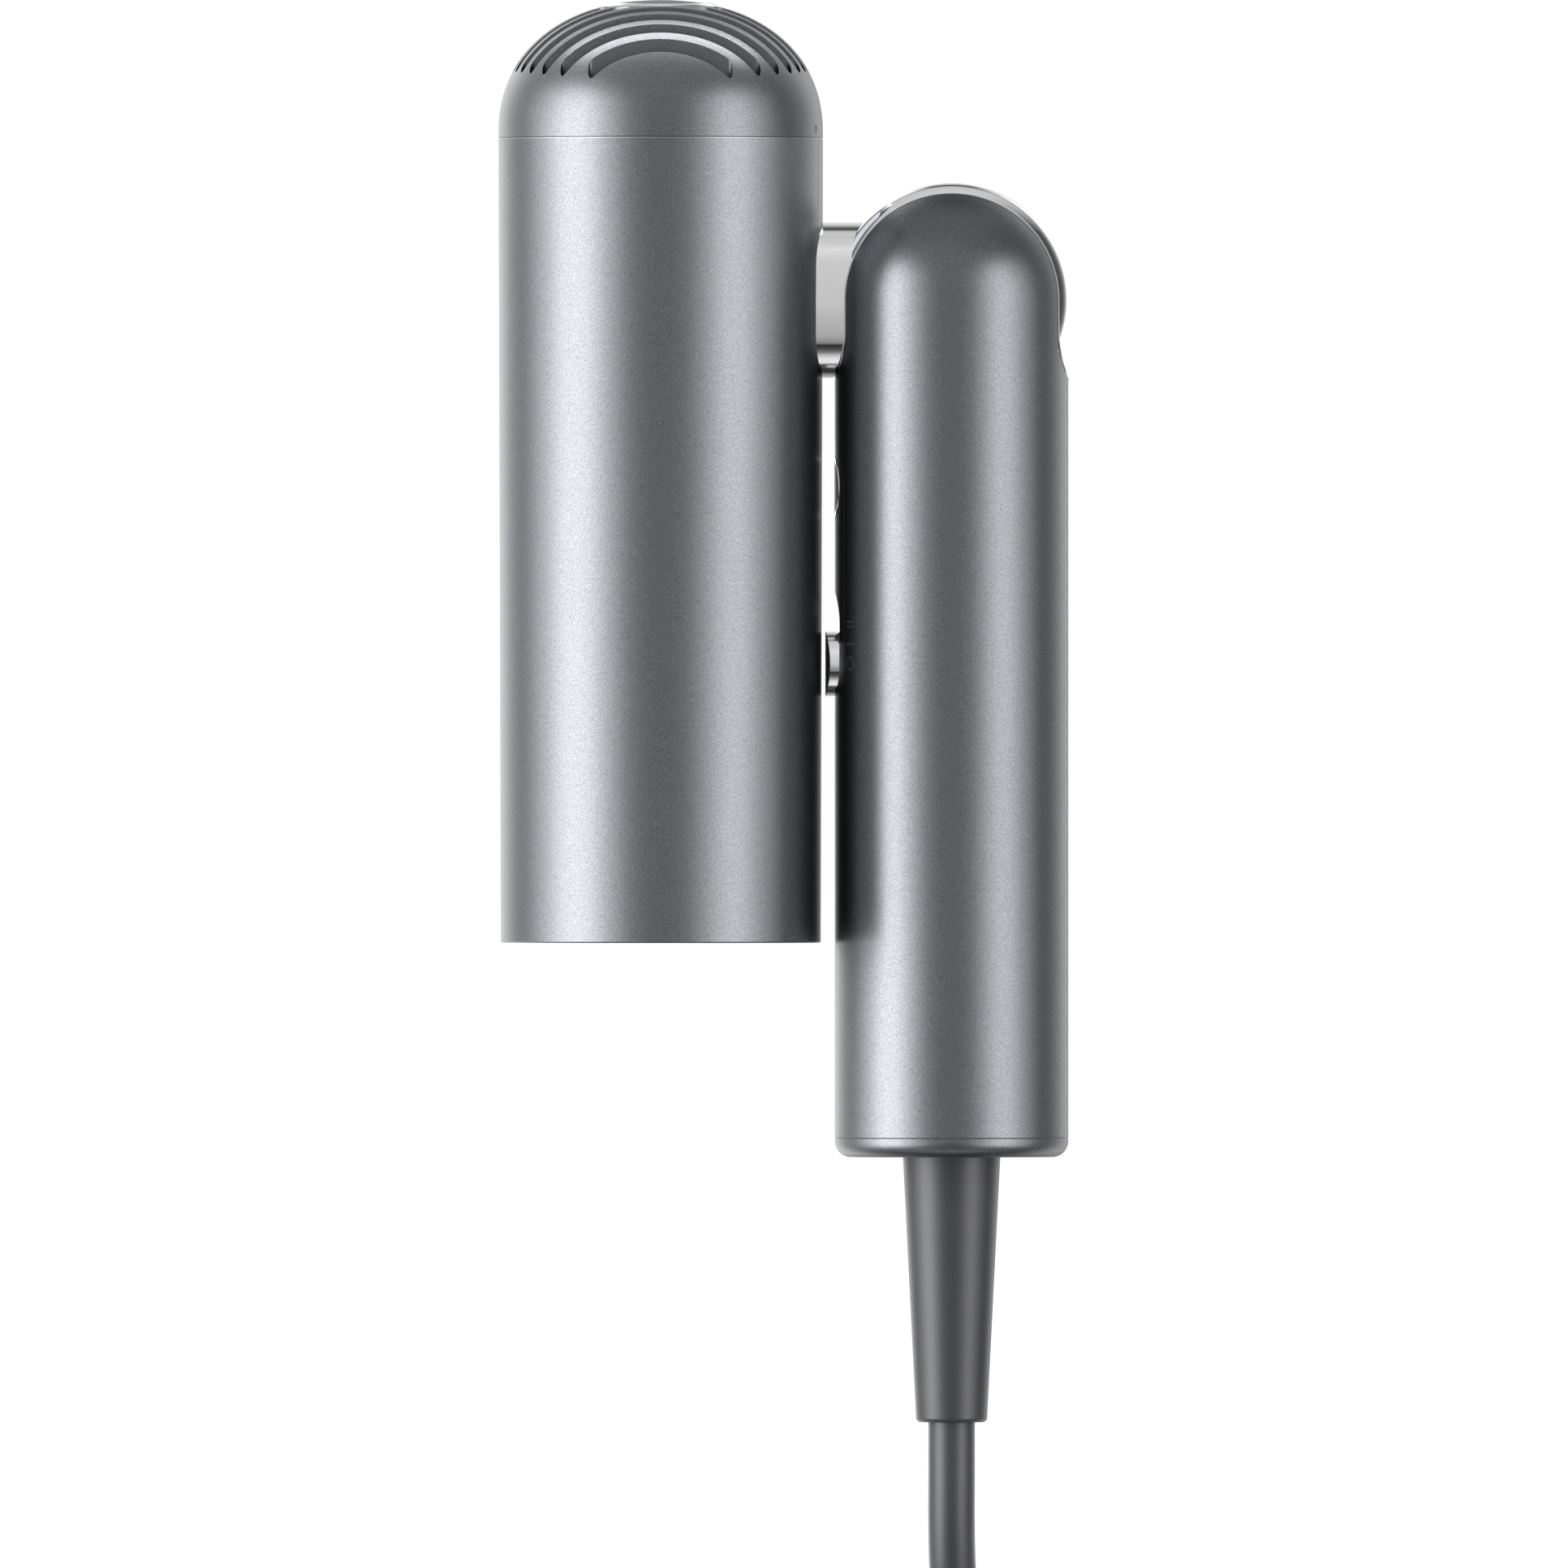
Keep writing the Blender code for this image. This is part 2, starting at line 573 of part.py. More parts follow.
def make_speed_switch():
    """The round knob that slides between off, low and high, and the switch behind it."""
    at_knob = side_of_handle(KNOB_S)
    back = KNOB_FLOOR - 0.3
    outline = [(0, -20.5), (KNOB_R, -20.5), (KNOB_R, back), (1.6, back), (1.6, -12.6), (0, -12.6)]
    knob = turned("speed_knob", outline, at_knob, CHROME, "speed_knob", segments=32)
    face = [(0, 85), (KNOB_FACE_R, 85), (KNOB_FACE_R, 118), (0, 118)]
    keep_common(knob, turned("knob_face", face, IN_HANDLE, segments=96))
    slot_middle = KNOB_S - KNOB_TRAVEL / 2
    at_slot = side_of_handle(slot_middle)
    body = prism("slide_switch", rectangle(-8.5, 8.5, -4.4, 4.4), -13.8, -8.6, at_slot, STEEL, "handle")
    cut(body, prism("lever_slot", stadium(2.0 + KNOB_TRAVEL / 2, 2.0), -16, -12.2, at_slot))


def make_mode_button():
    """The button above the switch, in its bright bezel, with the contact that it presses."""
    at_button = side_of_handle(BUTTON_S)
    skin = turned("button_skin", rod(HANDLE_R + 0.05, 65, 85), IN_HANDLE, segments=96)
    bezel_outline = ring(BUTTON_R + 0.15, 4.85, -19, -15)
    bezel = turned("button_bezel", bezel_outline, at_button, CHROME, "handle", segments=32)
    keep_common(bezel, skin)
    outline = [(0, -19), (BUTTON_R, -19), (BUTTON_R, -15.4), (1.4, -15.4), (1.4, -13.7), (0, -13.7)]
    button = turned("mode_button", outline, at_button, CHROME, "mode_button", segments=32)
    keep_common(button, skin)
    prism("button_contact", rectangle(-3, 3, -3, 3), -12.6, -8.6, at_button, DARK_PLASTIC, "handle")
    middle = (PANEL_LOW_S + PANEL_HIGH_S) / 2
    at_board = side_of_handle(middle)
    prism("control_board", rectangle(-20, 20, -5.5, 5.5), -8.3, -7.1, at_board, BOARD_GREEN, "handle")


def make_electronics():
    box = {
        "main_board": ((2.0, 3.6), (-13.0, 13.0), (72, 152), BOARD_GREEN),
        "power_heatsink": ((4.0, 12.0), (-8.0, 8.0), (76, 98), ALUMINIUM),
        "ion_generator": ((4.0, 13.0), (-7.0, 7.0), (104, 126), DARK_PLASTIC),
    }
    made = {}
    for name, ((x0, x1), (y0, y1), (low, high), material) in box.items():
        made[name] = prism(name, rectangle(x0, x1, y0, y1), low, high, IN_HANDLE, material, "handle")
    fins = [(rectangle(6.0, 14.0, y - 1.0, y + 1.0), 70, 104) for y in (-5.0, 0.0, 5.0)]
    cut(made["power_heatsink"], prisms("fin_gaps", fins, IN_HANDLE))
    can = [(0, 0), (6.2, 0), (6.2, 24), (0, 24)]
    at_can = IN_HANDLE @ place(ALONG_Z, -4.9, 0, 120)
    turned("bulk_capacitor", can, at_can, DARK_PLASTIC, "handle", segments=24)
    choke = [(3.0, 0), (6.6, 0), (6.6, 6.0), (3.0, 6.0)]
    turned("choke", choke, IN_HANDLE @ place(ALONG_X, 4.0, 0, 138), COPPER, "handle", segments=20)


def make_handle_end():
    """The end cap, the tapered strain relief that it holds, and the bar and screws that clamp it."""
    fillet = arc(HANDLE_R - 2.4, HANDLE_END_S - 2.4, 2.4, 0, 90, 3)
    cap_outline = [(HANDLE_R, HANDLE_SEAM_S + GAP)] + fillet
    cap_outline += [(7.8, HANDLE_END_S), (7.8, 174.9), (14.0, 174.9)]
    cap_outline += [(14.0, 170.0), (15.8, 170.0), (15.8, HANDLE_SEAM_S + GAP)]
    cap = turned("end_cap", cap_outline, IN_HANDLE, GREY_METAL, "handle", segments=32)
    bosses = [(arc(x, 0, 2.6, 0, 315, 7), 170.4, 175.5) for x in (-11.0, 11.0)]
    pilot = [(arc(x, 0, 1.1, 0, 300, 5), 168, 174.4) for x in (-11.0, 11.0)]
    fuse(cap, prisms("bosses", bosses, IN_HANDLE))
    cut(cap, prisms("pilot_holes", pilot, IN_HANDLE))
    tip = arc(4.6, RELIEF_END_S - 0.8, 0.8, 0, 90, 3)
    relief = [(0, 170.6), (7.9, 170.6), (7.9, 174.5), (7.5, 174.5), (7.5, HANDLE_END_S + 1.0)]
    relief += tip + [(0, RELIEF_END_S)]
    turned("strain_relief", relief, IN_HANDLE, DARK_PLASTIC, "handle", segments=24)
    bar = prism("cord_clamp", stadium(13.6, 3.2, 5), 167.0, 169.9, IN_HANDLE, WHITE_PLASTIC, "handle")
    holes = [(arc(x, 0, 1.3, 0, 300, 5), 160, 172) for x in (-11.0, 11.0)]
    cut(bar, prisms("clamp_holes", holes, IN_HANDLE))
    screw = [(0, 164.6), (2.2, 164.6), (2.2, 166.8), (0.85, 166.8), (0.85, 173.6), (0, 173.6)]
    for name, x in (("clamp_screw_left", -11.0), ("clamp_screw_right", 11.0)):
        turned(name, screw, IN_HANDLE @ place(ALONG_Z, x, 0, 0), STEEL, "handle", segments=12)


# ---------------------------------------------------------------- mains lead


def smooth(route, steps=6):
    """Points on a Catmull-Rom curve through a route."""
    points = [Vector(p) for p in route]
    points = [points[0] * 2 - points[1]] + points + [points[-1] * 2 - points[-2]]
    curve = []
    for a, b, c, d in zip(points, points[1:], points[2:], points[3:]):
        for k in range(steps):
            t = k / steps
            square, cube = 2 * a - 5 * b + 4 * c - d, 3 * b - a - 3 * c + d
            curve.append(0.5 * (2 * b + (c - a) * t + square * t**2 + cube * t**3))
    return curve + [points[-2]]


def tube(name, route, material, body):
    """A cord's loose stretch, with a point every two diameters."""
    line, total = smooth(route), 0.0
    kept = [line[0]]
    for before, after in zip(line, line[1:]):
        total += (after - before).length
        if total > 2 * CORD_D:
            kept.append(after)
            total = 0.0
    if (kept[-1] - line[-1]).length < CORD_D:
        kept.pop()
    kept.append(line[-1])
    curve = bpy.data.curves.new(name, "CURVE")
    curve.dimensions = "3D"
    curve.bevel_depth = CORD_D / 2 * MM
    curve.bevel_resolution = 2
    curve.use_fill_caps = True
    curve.materials.append(material)
    spline = curve.splines.new("POLY")
    spline.points.add(len(kept) - 1)
    for point, at in zip(spline.points, kept):
        point.co = (*(at * MM), 1.0)
    obj = bpy.data.objects.new(name, curve)
    bpy.context.scene.collection.objects.link(obj)
    obj.parent = bodies[body]
    obj.matrix_parent_inverse = bodies[body].matrix_world.inverted()


def make_lead():
    tube("cord_lead", LEAD_ROUTE, RUBBER, "handle")
    tube("cord_tail", TAIL_ROUTE, RUBBER, "handle")
    low_r, high_r, low, high, edge = COIL_INNER_R, COIL_OUTER_R, COIL_LOW, COIL_HIGH, 2.4
    outline = [(low_r + edge, low), (high_r - edge, low), (high_r, low + edge), (high_r, high - edge)]
    outline += [(high_r - edge, high), (low_r + edge, high), (low_r, high - edge), (low_r, low + edge)]
    at_coil = place(ALONG_Z, COIL_X, COIL_Y, 0)
    coil = turned("cord_coil", outline, at_coil, RUBBER, "handle", segments=36)
    beyond = COIL_OUTER_R + 5
    lead_in = prism("lead_in", sector(LEAD_IN_R, beyond, 0, 40, 6), -1, COIL_LAYER + 0.25, at_coil)
    tail_out = prism("tail_out", sector(TAIL_OUT_R, beyond, 76, TAIL_ANGLE, 8), COIL_LAYER, 20, at_coil)
    # The tie crosses the coil on its left side, and passes under it there
    half = TIE_W / 2
    groove = rectangle(-beyond, 5 - low_r, -half - 0.6, half + 0.6)
    cut(coil, lead_in, tail_out, prism("tie_groove", groove, -1, 1.7, at_coil))
    outer = rectangle(-high_r - 1.3, 2 - low_r, 0.3, high + 1.5)
    inner = rectangle(-high_r - 0.3, 1 - low_r, 1.3, high + 0.5)
    across = place(STATION, COIL_X, COIL_Y, 0)
    hollow_prism("coil_tie", outer, inner, -half, half, across, DARK_PLASTIC, "handle")


def make_plug():
    """A two-pin moulded plug lying on the coil, its pins pointing away from the dryer."""
    at_plug = place(STATION, PLUG_X, PLUG_Y, PLUG_Z)
    relief = [(0, 0), (4.9, 0), (6.4, 18), (0, 18)]
    neck = turned("plug_neck", relief, at_plug, segments=20)
    body = prism("plug_body", stadium(18.0, 12.3, 8), 26, 40, at_plug, DARK_PLASTIC, "handle")
    bm = bmesh.new()
    loops = []
    for station, half_x, half_y in ((17.5, 7.0, 6.8), (26.2, 16.5, 11.3)):
        loops.append([bm.verts.new((x, y, station)) for x, y in stadium(half_x, half_y, 8)])
    for k in range(len(loops[0])):
        n = (k + 1) % len(loops[0])
        bm.faces.new((loops[0][k], loops[0][n], loops[1][n], loops[1][k]))
    bm.faces.new(loops[0])
    bm.faces.new(loops[1])
    fuse(body, add("plug_shoulder", bm, at_plug, None, None), neck)
    pin = [(0, 30), (2.4, 30), (2.4, 58.0), (1.4, 59.2), (0, 59.2)]
    for name, x in (("plug_pin_left", -9.5), ("plug_pin_right", 9.5)):
        where = at_plug @ place(ALONG_Z, x, 0, 0)
        turned(name, pin, where, STEEL, "handle", segments=16)
        cut(body, turned(name + "_seat", [(0, 29.7), (2.7, 29.7), (2.7, 45), (0, 45)], where, segments=16))


clear_scene()
GREY_METAL = look("grey_metal", (0.20, 0.205, 0.215), 0.38, 1.0)
CHROME = look("chrome", (0.85, 0.85, 0.86), 0.08, 1.0)
STEEL = look("steel", (0.55, 0.55, 0.56), 0.35, 1.0)
ALUMINIUM = look("aluminium", (0.7, 0.7, 0.71), 0.4, 1.0)
DARK_PLASTIC = look("dark_plastic", (0.045, 0.047, 0.052), 0.5, 0.0)
MESH_GREY = look("mesh_grey", (0.06, 0.062, 0.068), 0.6, 0.3)
WHITE_PLASTIC = look("white_plastic", (0.6, 0.6, 0.58), 0.5, 0.0)
RUBBER = look("rubber", (0.07, 0.072, 0.078), 0.6, 0.0)
MICA = look("mica", (0.62, 0.52, 0.36), 0.5, 0.0)
BOARD_GREEN = look("board_green", (0.03, 0.16, 0.07), 0.45, 0.0)
COPPER = look("copper", (0.6, 0.28, 0.12), 0.35, 1.0)
LENS = look("lens", (0.75, 0.78, 0.82), 0.25, 0.0)

add_body("handle", HANDLE_X, HINGE_Y, MID_Z)
add_body("barrel", HANDLE_X, HINGE_Y, MID_Z)
for turning in ("filter_collar", "intake_cap", "rotor"):
    add_body(turning, BARREL_X, HINGE_Y, MID_Z)
add_body("speed_knob", HANDLE_X - KNOB_FACE_R, TOP_Y - KNOB_S, MID_Z)
add_body("mode_button", HANDLE_X - HANDLE_R, TOP_Y - BUTTON_S, MID_Z)

make_intake_cap()
make_filter()
make_barrel_shell()
make_inner_frame()
make_motor()
make_rotor()
make_heater()
make_outlet()
make_hinge_arm()
make_hinge_fork()
make_handle_shell()
make_control_panel()
make_speed_switch()
make_mode_button()
make_electronics()
make_handle_end()
make_lead()
make_plug()
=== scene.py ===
"""The folding hair dryer's looks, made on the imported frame.

Work happens in millimetres in the row frame, and each mesh is scaled to metres when it is made. As in the
part, most pieces are drawn in a station frame: local x towards +X, local y up, and local z is the station,
the distance down the dryer from the crown of its intake cap.
"""

import json
import math

import bmesh
import bpy
import numpy as np
from mathutils import Matrix, Vector


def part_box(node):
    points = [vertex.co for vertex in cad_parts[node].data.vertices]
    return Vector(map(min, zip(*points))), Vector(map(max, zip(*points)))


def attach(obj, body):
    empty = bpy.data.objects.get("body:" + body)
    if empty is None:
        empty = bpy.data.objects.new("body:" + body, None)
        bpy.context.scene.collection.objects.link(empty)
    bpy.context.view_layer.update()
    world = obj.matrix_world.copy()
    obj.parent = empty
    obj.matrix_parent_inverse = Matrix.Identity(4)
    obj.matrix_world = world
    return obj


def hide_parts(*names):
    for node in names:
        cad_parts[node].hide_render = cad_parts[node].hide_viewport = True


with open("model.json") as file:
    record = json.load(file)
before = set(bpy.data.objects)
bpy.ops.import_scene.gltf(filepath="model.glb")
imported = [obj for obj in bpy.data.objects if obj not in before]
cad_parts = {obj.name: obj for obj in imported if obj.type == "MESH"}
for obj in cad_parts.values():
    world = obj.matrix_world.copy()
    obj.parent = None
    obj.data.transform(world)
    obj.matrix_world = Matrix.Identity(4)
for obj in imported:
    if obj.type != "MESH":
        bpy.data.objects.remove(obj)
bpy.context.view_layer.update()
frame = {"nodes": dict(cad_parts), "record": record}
MM = 0.001


def span(node):
    """A node's lowest corner, highest corner and middle, in millimetres."""
    low, high = (Vector(corner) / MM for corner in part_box(node))
    return low, high, (low + high) / 2


# Places, from the frame
cap_low, cap_high, cap_mid = span("intake_cap")
shell_low, shell_high, _ = span("barrel_shell")
pin_mid = span("hinge_pin")[2]
end_low, end_high, _ = span("end_cap")
relief_low = span("strain_relief")[0]
disc_high = span("cap_disc")[1]
button_mid = span("mode_button")[2]
knob_mid = span("speed_knob")[2]
panel_low, panel_high, _ = span("control_panel")

BARREL_X, MID_Z, TOP_Y = cap_mid.x, cap_mid.z, disc_high.y
HANDLE_X, HINGE_Y = pin_mid.x, pin_mid.y
AXIS_GAP = HANDLE_X - BARREL_X
BARREL_R = (cap_high.x - cap_low.x) / 2
BARREL_END_R = BARREL_R - 0.35  # the tube narrows a little towards its outlet
HANDLE_R = (end_high.x - end_low.x) / 2
HINGE_S = TOP_Y - HINGE_Y
SEAM_S = TOP_Y - (cap_low.y + shell_high.y) / 2
OUTLET_S = TOP_Y - shell_low.y
HANDLE_SEAM_S = HINGE_S + 128.95  # between the handle's tube and its end cap
HANDLE_END_S = TOP_Y - end_low.y
RELIEF_END_S = TOP_Y - relief_low.y
BUTTON_S = TOP_Y - button_mid.y
KNOB_S = TOP_Y - knob_mid.y
PANEL_LOW_S, PANEL_HIGH_S = TOP_Y - panel_high.y, TOP_Y - panel_low.y

# Sizes
CORD_D = 7.2
BARREL_BORE_R = 23.0
HANDLE_BORE_R = 16.1
DOME_H, DOME_POWER, DOME_INNER_H = 20.5, 2.2, 18.6
HUB_R = 9.0
SLIT_PITCH, SLIT_W, SLIT_ROWS, SLIT_END_R = 3.07, 1.9, 7, 22.84
SLIT_CORNER = 0.9
SLIT_TO_HUB, SHORTEST_NOTCH = 0.6, 2.5  # the slits' distance from the hub, and their smallest step back
SLIT_CUT = (-2, 12.6)  # the stations that the slits' cutters reach
SLOT_W = 14.7
SLOT_END = 4.8  # from the hinge's axis down to the middle of the slot's round end
DISC_HALF = 7.0
NECK_W, NECK_H = 13.6, 23.9
PANEL_W = 13.8
KNOB_R, KNOB_FACE_R, KNOB_TRAVEL = 4.95, 19.45, 6.1
BEZEL = (4.35, 4.85, -19, -15)  # radii and depths of the ring round the mode button
STRIP_LINE_Y, STRIP_LINE_W, STRIP_LINE_DEPTH = 6.1, 0.16, 0.35
DISC_EDGE = 2.6  # radius of the hinge disc's rolled edge
SEAM_GAP = 0.06  # half the width of a seam line
CREASE = 32  # degrees: sharper corners stay sharp

STATION = Matrix(((1, 0, 0), (0, 0, -1), (0, 1, 0)))
ALONG_X = Matrix(((0, 0, 1), (1, 0, 0), (0, 1, 0)))
ALONG_Z = Matrix.Identity(3)


def place(turn, x, y, z):
    return Matrix.Translation(Vector((x, y, z))) @ turn.to_4x4()


IN_BARREL = place(STATION, BARREL_X, TOP_Y, MID_Z)
IN_HANDLE = place(STATION, HANDLE_X, TOP_Y, MID_Z)
ON_HINGE = place(ALONG_Z, HANDLE_X, HINGE_Y, MID_Z)
NECK_FRAME = place(ALONG_X, BARREL_X, HINGE_Y, MID_Z)


def side_of_handle(station):
    return place(ALONG_X, HANDLE_X, TOP_Y - station, MID_Z)


def facing(way, angle):
    """The turn of a mark on a tube's side in a station frame: it faces +x or -x, and up by that angle."""
    out = Vector((way * math.cos(angle), math.sin(angle), 0))
    along = Vector((-way * math.sin(angle), math.cos(angle), 0))
    return Matrix((along, Vector((0, 0, 1)), out)).transposed()


# ---------------------------------------------------------------- mesh tools


def new_object(name, data):
    obj = bpy.data.objects.new(name, data)
    bpy.context.scene.collection.objects.link(obj)
    return obj


def add(name, bm, where, material=None):
    """Turns a bmesh in millimetres into an object in metres, in the row frame."""
    bmesh.ops.recalc_face_normals(bm, faces=bm.faces)
    bm.transform(Matrix.Scale(MM, 4) @ where)
    mesh = bpy.data.meshes.new(name)
    bm.to_mesh(mesh)
    bm.free()
    mesh.shade_smooth()
    mesh.set_sharp_from_angle(angle=math.radians(CREASE))
    if material:
        mesh.materials.append(material)
    return new_object(name, mesh)


def bridge(bm, loops):
    """Makes the faces between each loop of vertices and the next."""
    for first, second in zip(loops, loops[1:]):
        for k in range(len(first)):
            n = (k + 1) % len(first)
            corners = list(dict.fromkeys((first[k], first[n], second[n], second[k])))
            if len(corners) > 2:
                bm.faces.new(corners)


def turned(name, outline, where, material=None, segments=160):
    """A solid turned about local z from a closed outline of (radius, height) points."""
    bm = bmesh.new()
    angles = [2 * math.pi * k / segments for k in range(segments)]
    loops = []
    for radius, height in outline:
        if radius == 0:
            loops.append([bm.verts.new((0, 0, height))] * segments)
        else:
            loops.append([bm.verts.new((radius * math.cos(a), radius * math.sin(a), height)) for a in angles])
    bridge(bm, loops + loops[:1])
    return add(name, bm, where, material)


def prisms(name, parts, where, material=None):
    """Prisms along local z, as one object: (outline, low, high) each."""
    bm = bmesh.new()
    for outline, low, high in parts:
        bottom = [bm.verts.new((x, y, low)) for x, y in outline]
        top = [bm.verts.new((x, y, high)) for x, y in outline]
        bm.faces.new(bottom)
        bm.faces.new(top)
        bridge(bm, [bottom, top])
    return add(name, bm, where, material)


def shape(target, operation, *tools):
    """Cuts or joins with other solids, and keeps only the result."""
    for tool in tools:
        modifier = target.modifiers.new(operation.lower(), "BOOLEAN")
        modifier.operation = operation
        modifier.solver = "EXACT"
        modifier.object = tool
    bpy.context.view_layer.update()
    result = bpy.data.meshes.new_from_object(target.evaluated_get(bpy.context.evaluated_depsgraph_get()))
    target.modifiers.clear()
    target.data = result
    for tool in tools:
        bpy.data.objects.remove(tool)
    return target


def arc(x, y, radius, start, end, steps):
    """Points on an arc, in degrees."""
    angles = [math.radians(start + (end - start) * k / steps) for k in range(steps + 1)]
    return [(x + radius * math.cos(a), y + radius * math.sin(a)) for a in angles]


def rectangle(low_x, high_x, low_y, high_y):
    return [(low_x, low_y), (high_x, low_y), (high_x, high_y), (low_x, high_y)]


def half_chord(radius, at):
    """Half the width of a circle, that far from its middle."""
    return math.sqrt(max(radius**2 - at**2, 0.0))


def rounded(points, corner):
    """An outline with a short curve at each corner."""
    outline = []
    for k, point in enumerate(points):
        here = Vector(point)
        start = here + (Vector(points[k - 1]) - here).normalized() * corner
        end = here + (Vector(points[(k + 1) % len(points)]) - here).normalized() * corner
        for t in (step / 6 for step in range(7)):
            outline.append(tuple(start * (1 - t) ** 2 + here * 2 * t * (1 - t) + end * t**2))
    return outline


def stadium(half_x, half_y, steps=24):
    """A slot outline with round ends, longer along x."""
    reach = half_x - half_y
    return arc(reach, 0, half_y, -90, 90, steps) + arc(-reach, 0, half_y, 90, 270, steps)


def ring(inner, outer, low, high, edge=0.0):
    """A ring's outline, with small chamfers on its outer corners."""
    if not edge:
        return [(inner, low), (outer, low), (outer, high), (inner, high)]
    outline = [(inner, low), (outer - edge, low), (outer, low + edge)]
    return outline + [(outer, high - edge), (outer - edge, high), (inner, high)]


def outline_normals(outline, crease):
    """Each outline segment's normals at its two ends, averaged with its neighbour's across soft corners."""
    points = np.array(outline, float)
    along = np.roll(points, -1, axis=0) - points
    flat = np.stack((along[:, 1], -along[:, 0]), axis=1)
    flat /= np.maximum(np.linalg.norm(flat, axis=1, keepdims=True), 1e-9)
    before, after = np.roll(flat, 1, axis=0), np.roll(flat, -1, axis=0)
    limit = math.cos(math.radians(crease))

    def blend(other):
        soft = (flat * other).sum(axis=1, keepdims=True) > limit
        mixed = np.where(soft, flat + other, flat)
        return mixed / np.linalg.norm(mixed, axis=1, keepdims=True)

    return points, along, blend(before), blend(after)


def tube(name, points, radius, resolution, material, closed=False):
    """A round tube along points in millimetres, capped where it is open."""
    curve = bpy.data.curves.new(name, "CURVE")
    curve.dimensions = "3D"
    curve.bevel_depth = radius * MM
    curve.bevel_resolution = resolution
    curve.use_fill_caps = not closed
    curve.materials.append(material)
    spline = curve.splines.new("POLY")
    spline.points.add(len(points) - 1)
    for point, at in zip(spline.points, points):
        point.co = (*(at * MM), 1.0)
    spline.use_cyclic_u = closed
    spline.use_smooth = True
    return new_object(name, curve)


def shade_turned(obj, surfaces, walls=(), crease=CREASE, reach=0.03):
    """Gives the faces of obj that lie on turned surfaces the exact normals of those, so cuts leave no marks.

    surfaces holds the turned ones and walls the prisms' sides, as (frame, outline) pairs in millimetres. A
    face belongs to a surface within reach of it. All other faces keep their own shading.
    """
    mesh = obj.data
    mesh.shade_smooth()
    mesh.set_sharp_from_angle(angle=math.radians(crease))
    count = len(mesh.loops)
    normals = np.empty(count * 3)
    mesh.corner_normals.foreach_get("vector", normals)
    normals = normals.reshape(-1, 3).copy()
    corner_vertex = np.empty(count, int)
    mesh.loops.foreach_get("vertex_index", corner_vertex)
    vertices = np.empty(len(mesh.vertices) * 3)
    mesh.vertices.foreach_get("co", vertices)
    vertices = vertices.reshape(-1, 3) / MM
    for where, outline, straight in [(*pair, False) for pair in surfaces] + [(*pair, True) for pair in walls]:
        turn = np.array(where.to_3x3())
        local = (vertices - np.array(where.translation)) @ turn
        points, along, at_start, at_end = outline_normals(outline, crease)
        lengths = (along**2).sum(axis=1)
        for face in mesh.polygons:
            loops = list(face.loop_indices)
            corners = local[corner_vertex[loops]]
            radii = np.hypot(corners[:, 0], corners[:, 1])
            at_corner = corners[:, :2] if straight else np.stack((radii, corners[:, 2]), axis=1)
            middle = at_corner.mean(axis=0)
            share = np.clip(((middle - points) * along).sum(axis=1) / np.maximum(lengths, 1e-9), 0, 1)
            away = np.linalg.norm(points + along * share[:, None] - middle, axis=1)
            k = int(away.argmin())
            share = np.clip(((at_corner - points[k]) @ along[k]) / lengths[k], 0, 1)
            off = np.linalg.norm(points[k] + along[k] * share[:, None] - at_corner, axis=1)
            if off.max() > reach:
                continue
            mixed = at_start[k] * (1 - share[:, None]) + at_end[k] * share[:, None]
            out = corners[:, :2] / np.maximum(radii, 1e-6)[:, None]
            made = np.stack((out[:, 0] * mixed[:, 0], out[:, 1] * mixed[:, 0], mixed[:, 1]), axis=1)
            if straight:
                made = np.stack((mixed[:, 0], mixed[:, 1], 0 * radii), axis=1)
            made = made @ turn.T
            made /= np.linalg.norm(made, axis=1, keepdims=True)
            agreement = made @ np.array(face.normal)
            if abs(agreement).min() > 0.9:
                normals[loops] = made * np.sign(agreement)[:, None]
    mesh.normals_split_custom_set([tuple(n) for n in normals])


def finish_piece(obj, body, slot, *nodes):
    """Ties a piece to its body and to the CAD nodes that it stands for, which it hides; the slot is not used.
    """
    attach(obj, body)
    if nodes:
        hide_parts(*nodes)
    return obj


# ---------------------------------------------------------------- materials


def new_material(name, colour, roughness, metallic):
    """A Principled material, with its node tree's tools."""
    material = bpy.data.materials.new(name)
    material.use_nodes = True
    shader = material.node_tree.nodes["Principled BSDF"]
    shader.inputs["Base Color"].default_value = (*colour, 1.0)
    shader.inputs["Roughness"].default_value = roughness
    shader.inputs["Metallic"].default_value = metallic
    return material, material.node_tree.nodes, material.node_tree.links, shader


def grained(name, colour, roughness, metallic, size, depth, dark, light):
    """A finish with a fine grain of that size and depth in millimetres, which also varies the colour.

    dark and light are the levels that the colour varies between.
    """
    material, nodes, links, shader = new_material(name, colour, roughness, metallic)
    coords = nodes.new("ShaderNodeTexCoord")
    noise = nodes.new("ShaderNodeTexNoise")
    noise.inputs["Scale"].default_value = 1 / (size * MM)
    noise.inputs["Detail"].default_value = 2.0
    noise.inputs["Roughness"].default_value = 0.6
    links.new(coords.outputs["Object"], noise.inputs["Vector"])
    ramp = nodes.new("ShaderNodeValToRGB")
    ramp.color_ramp.elements[0].position = 0.3
    ramp.color_ramp.elements[1].position = 0.7
    ramp.color_ramp.elements[0].color = (*(Vector(colour) * dark), 1.0)
    ramp.color_ramp.elements[1].color = (*(Vector(colour) * light), 1.0)
    links.new(noise.outputs["Fac"], ramp.inputs["Fac"])
    links.new(ramp.outputs["Color"], shader.inputs["Base Color"])
    bump = nodes.new("ShaderNodeBump")
    bump.inputs["Strength"].default_value = 1.0
    bump.inputs["Distance"].default_value = depth * MM
    links.new(noise.outputs["Fac"], bump.inputs["Height"])
    links.new(bump.outputs["Normal"], shader.inputs["Normal"])
    return material


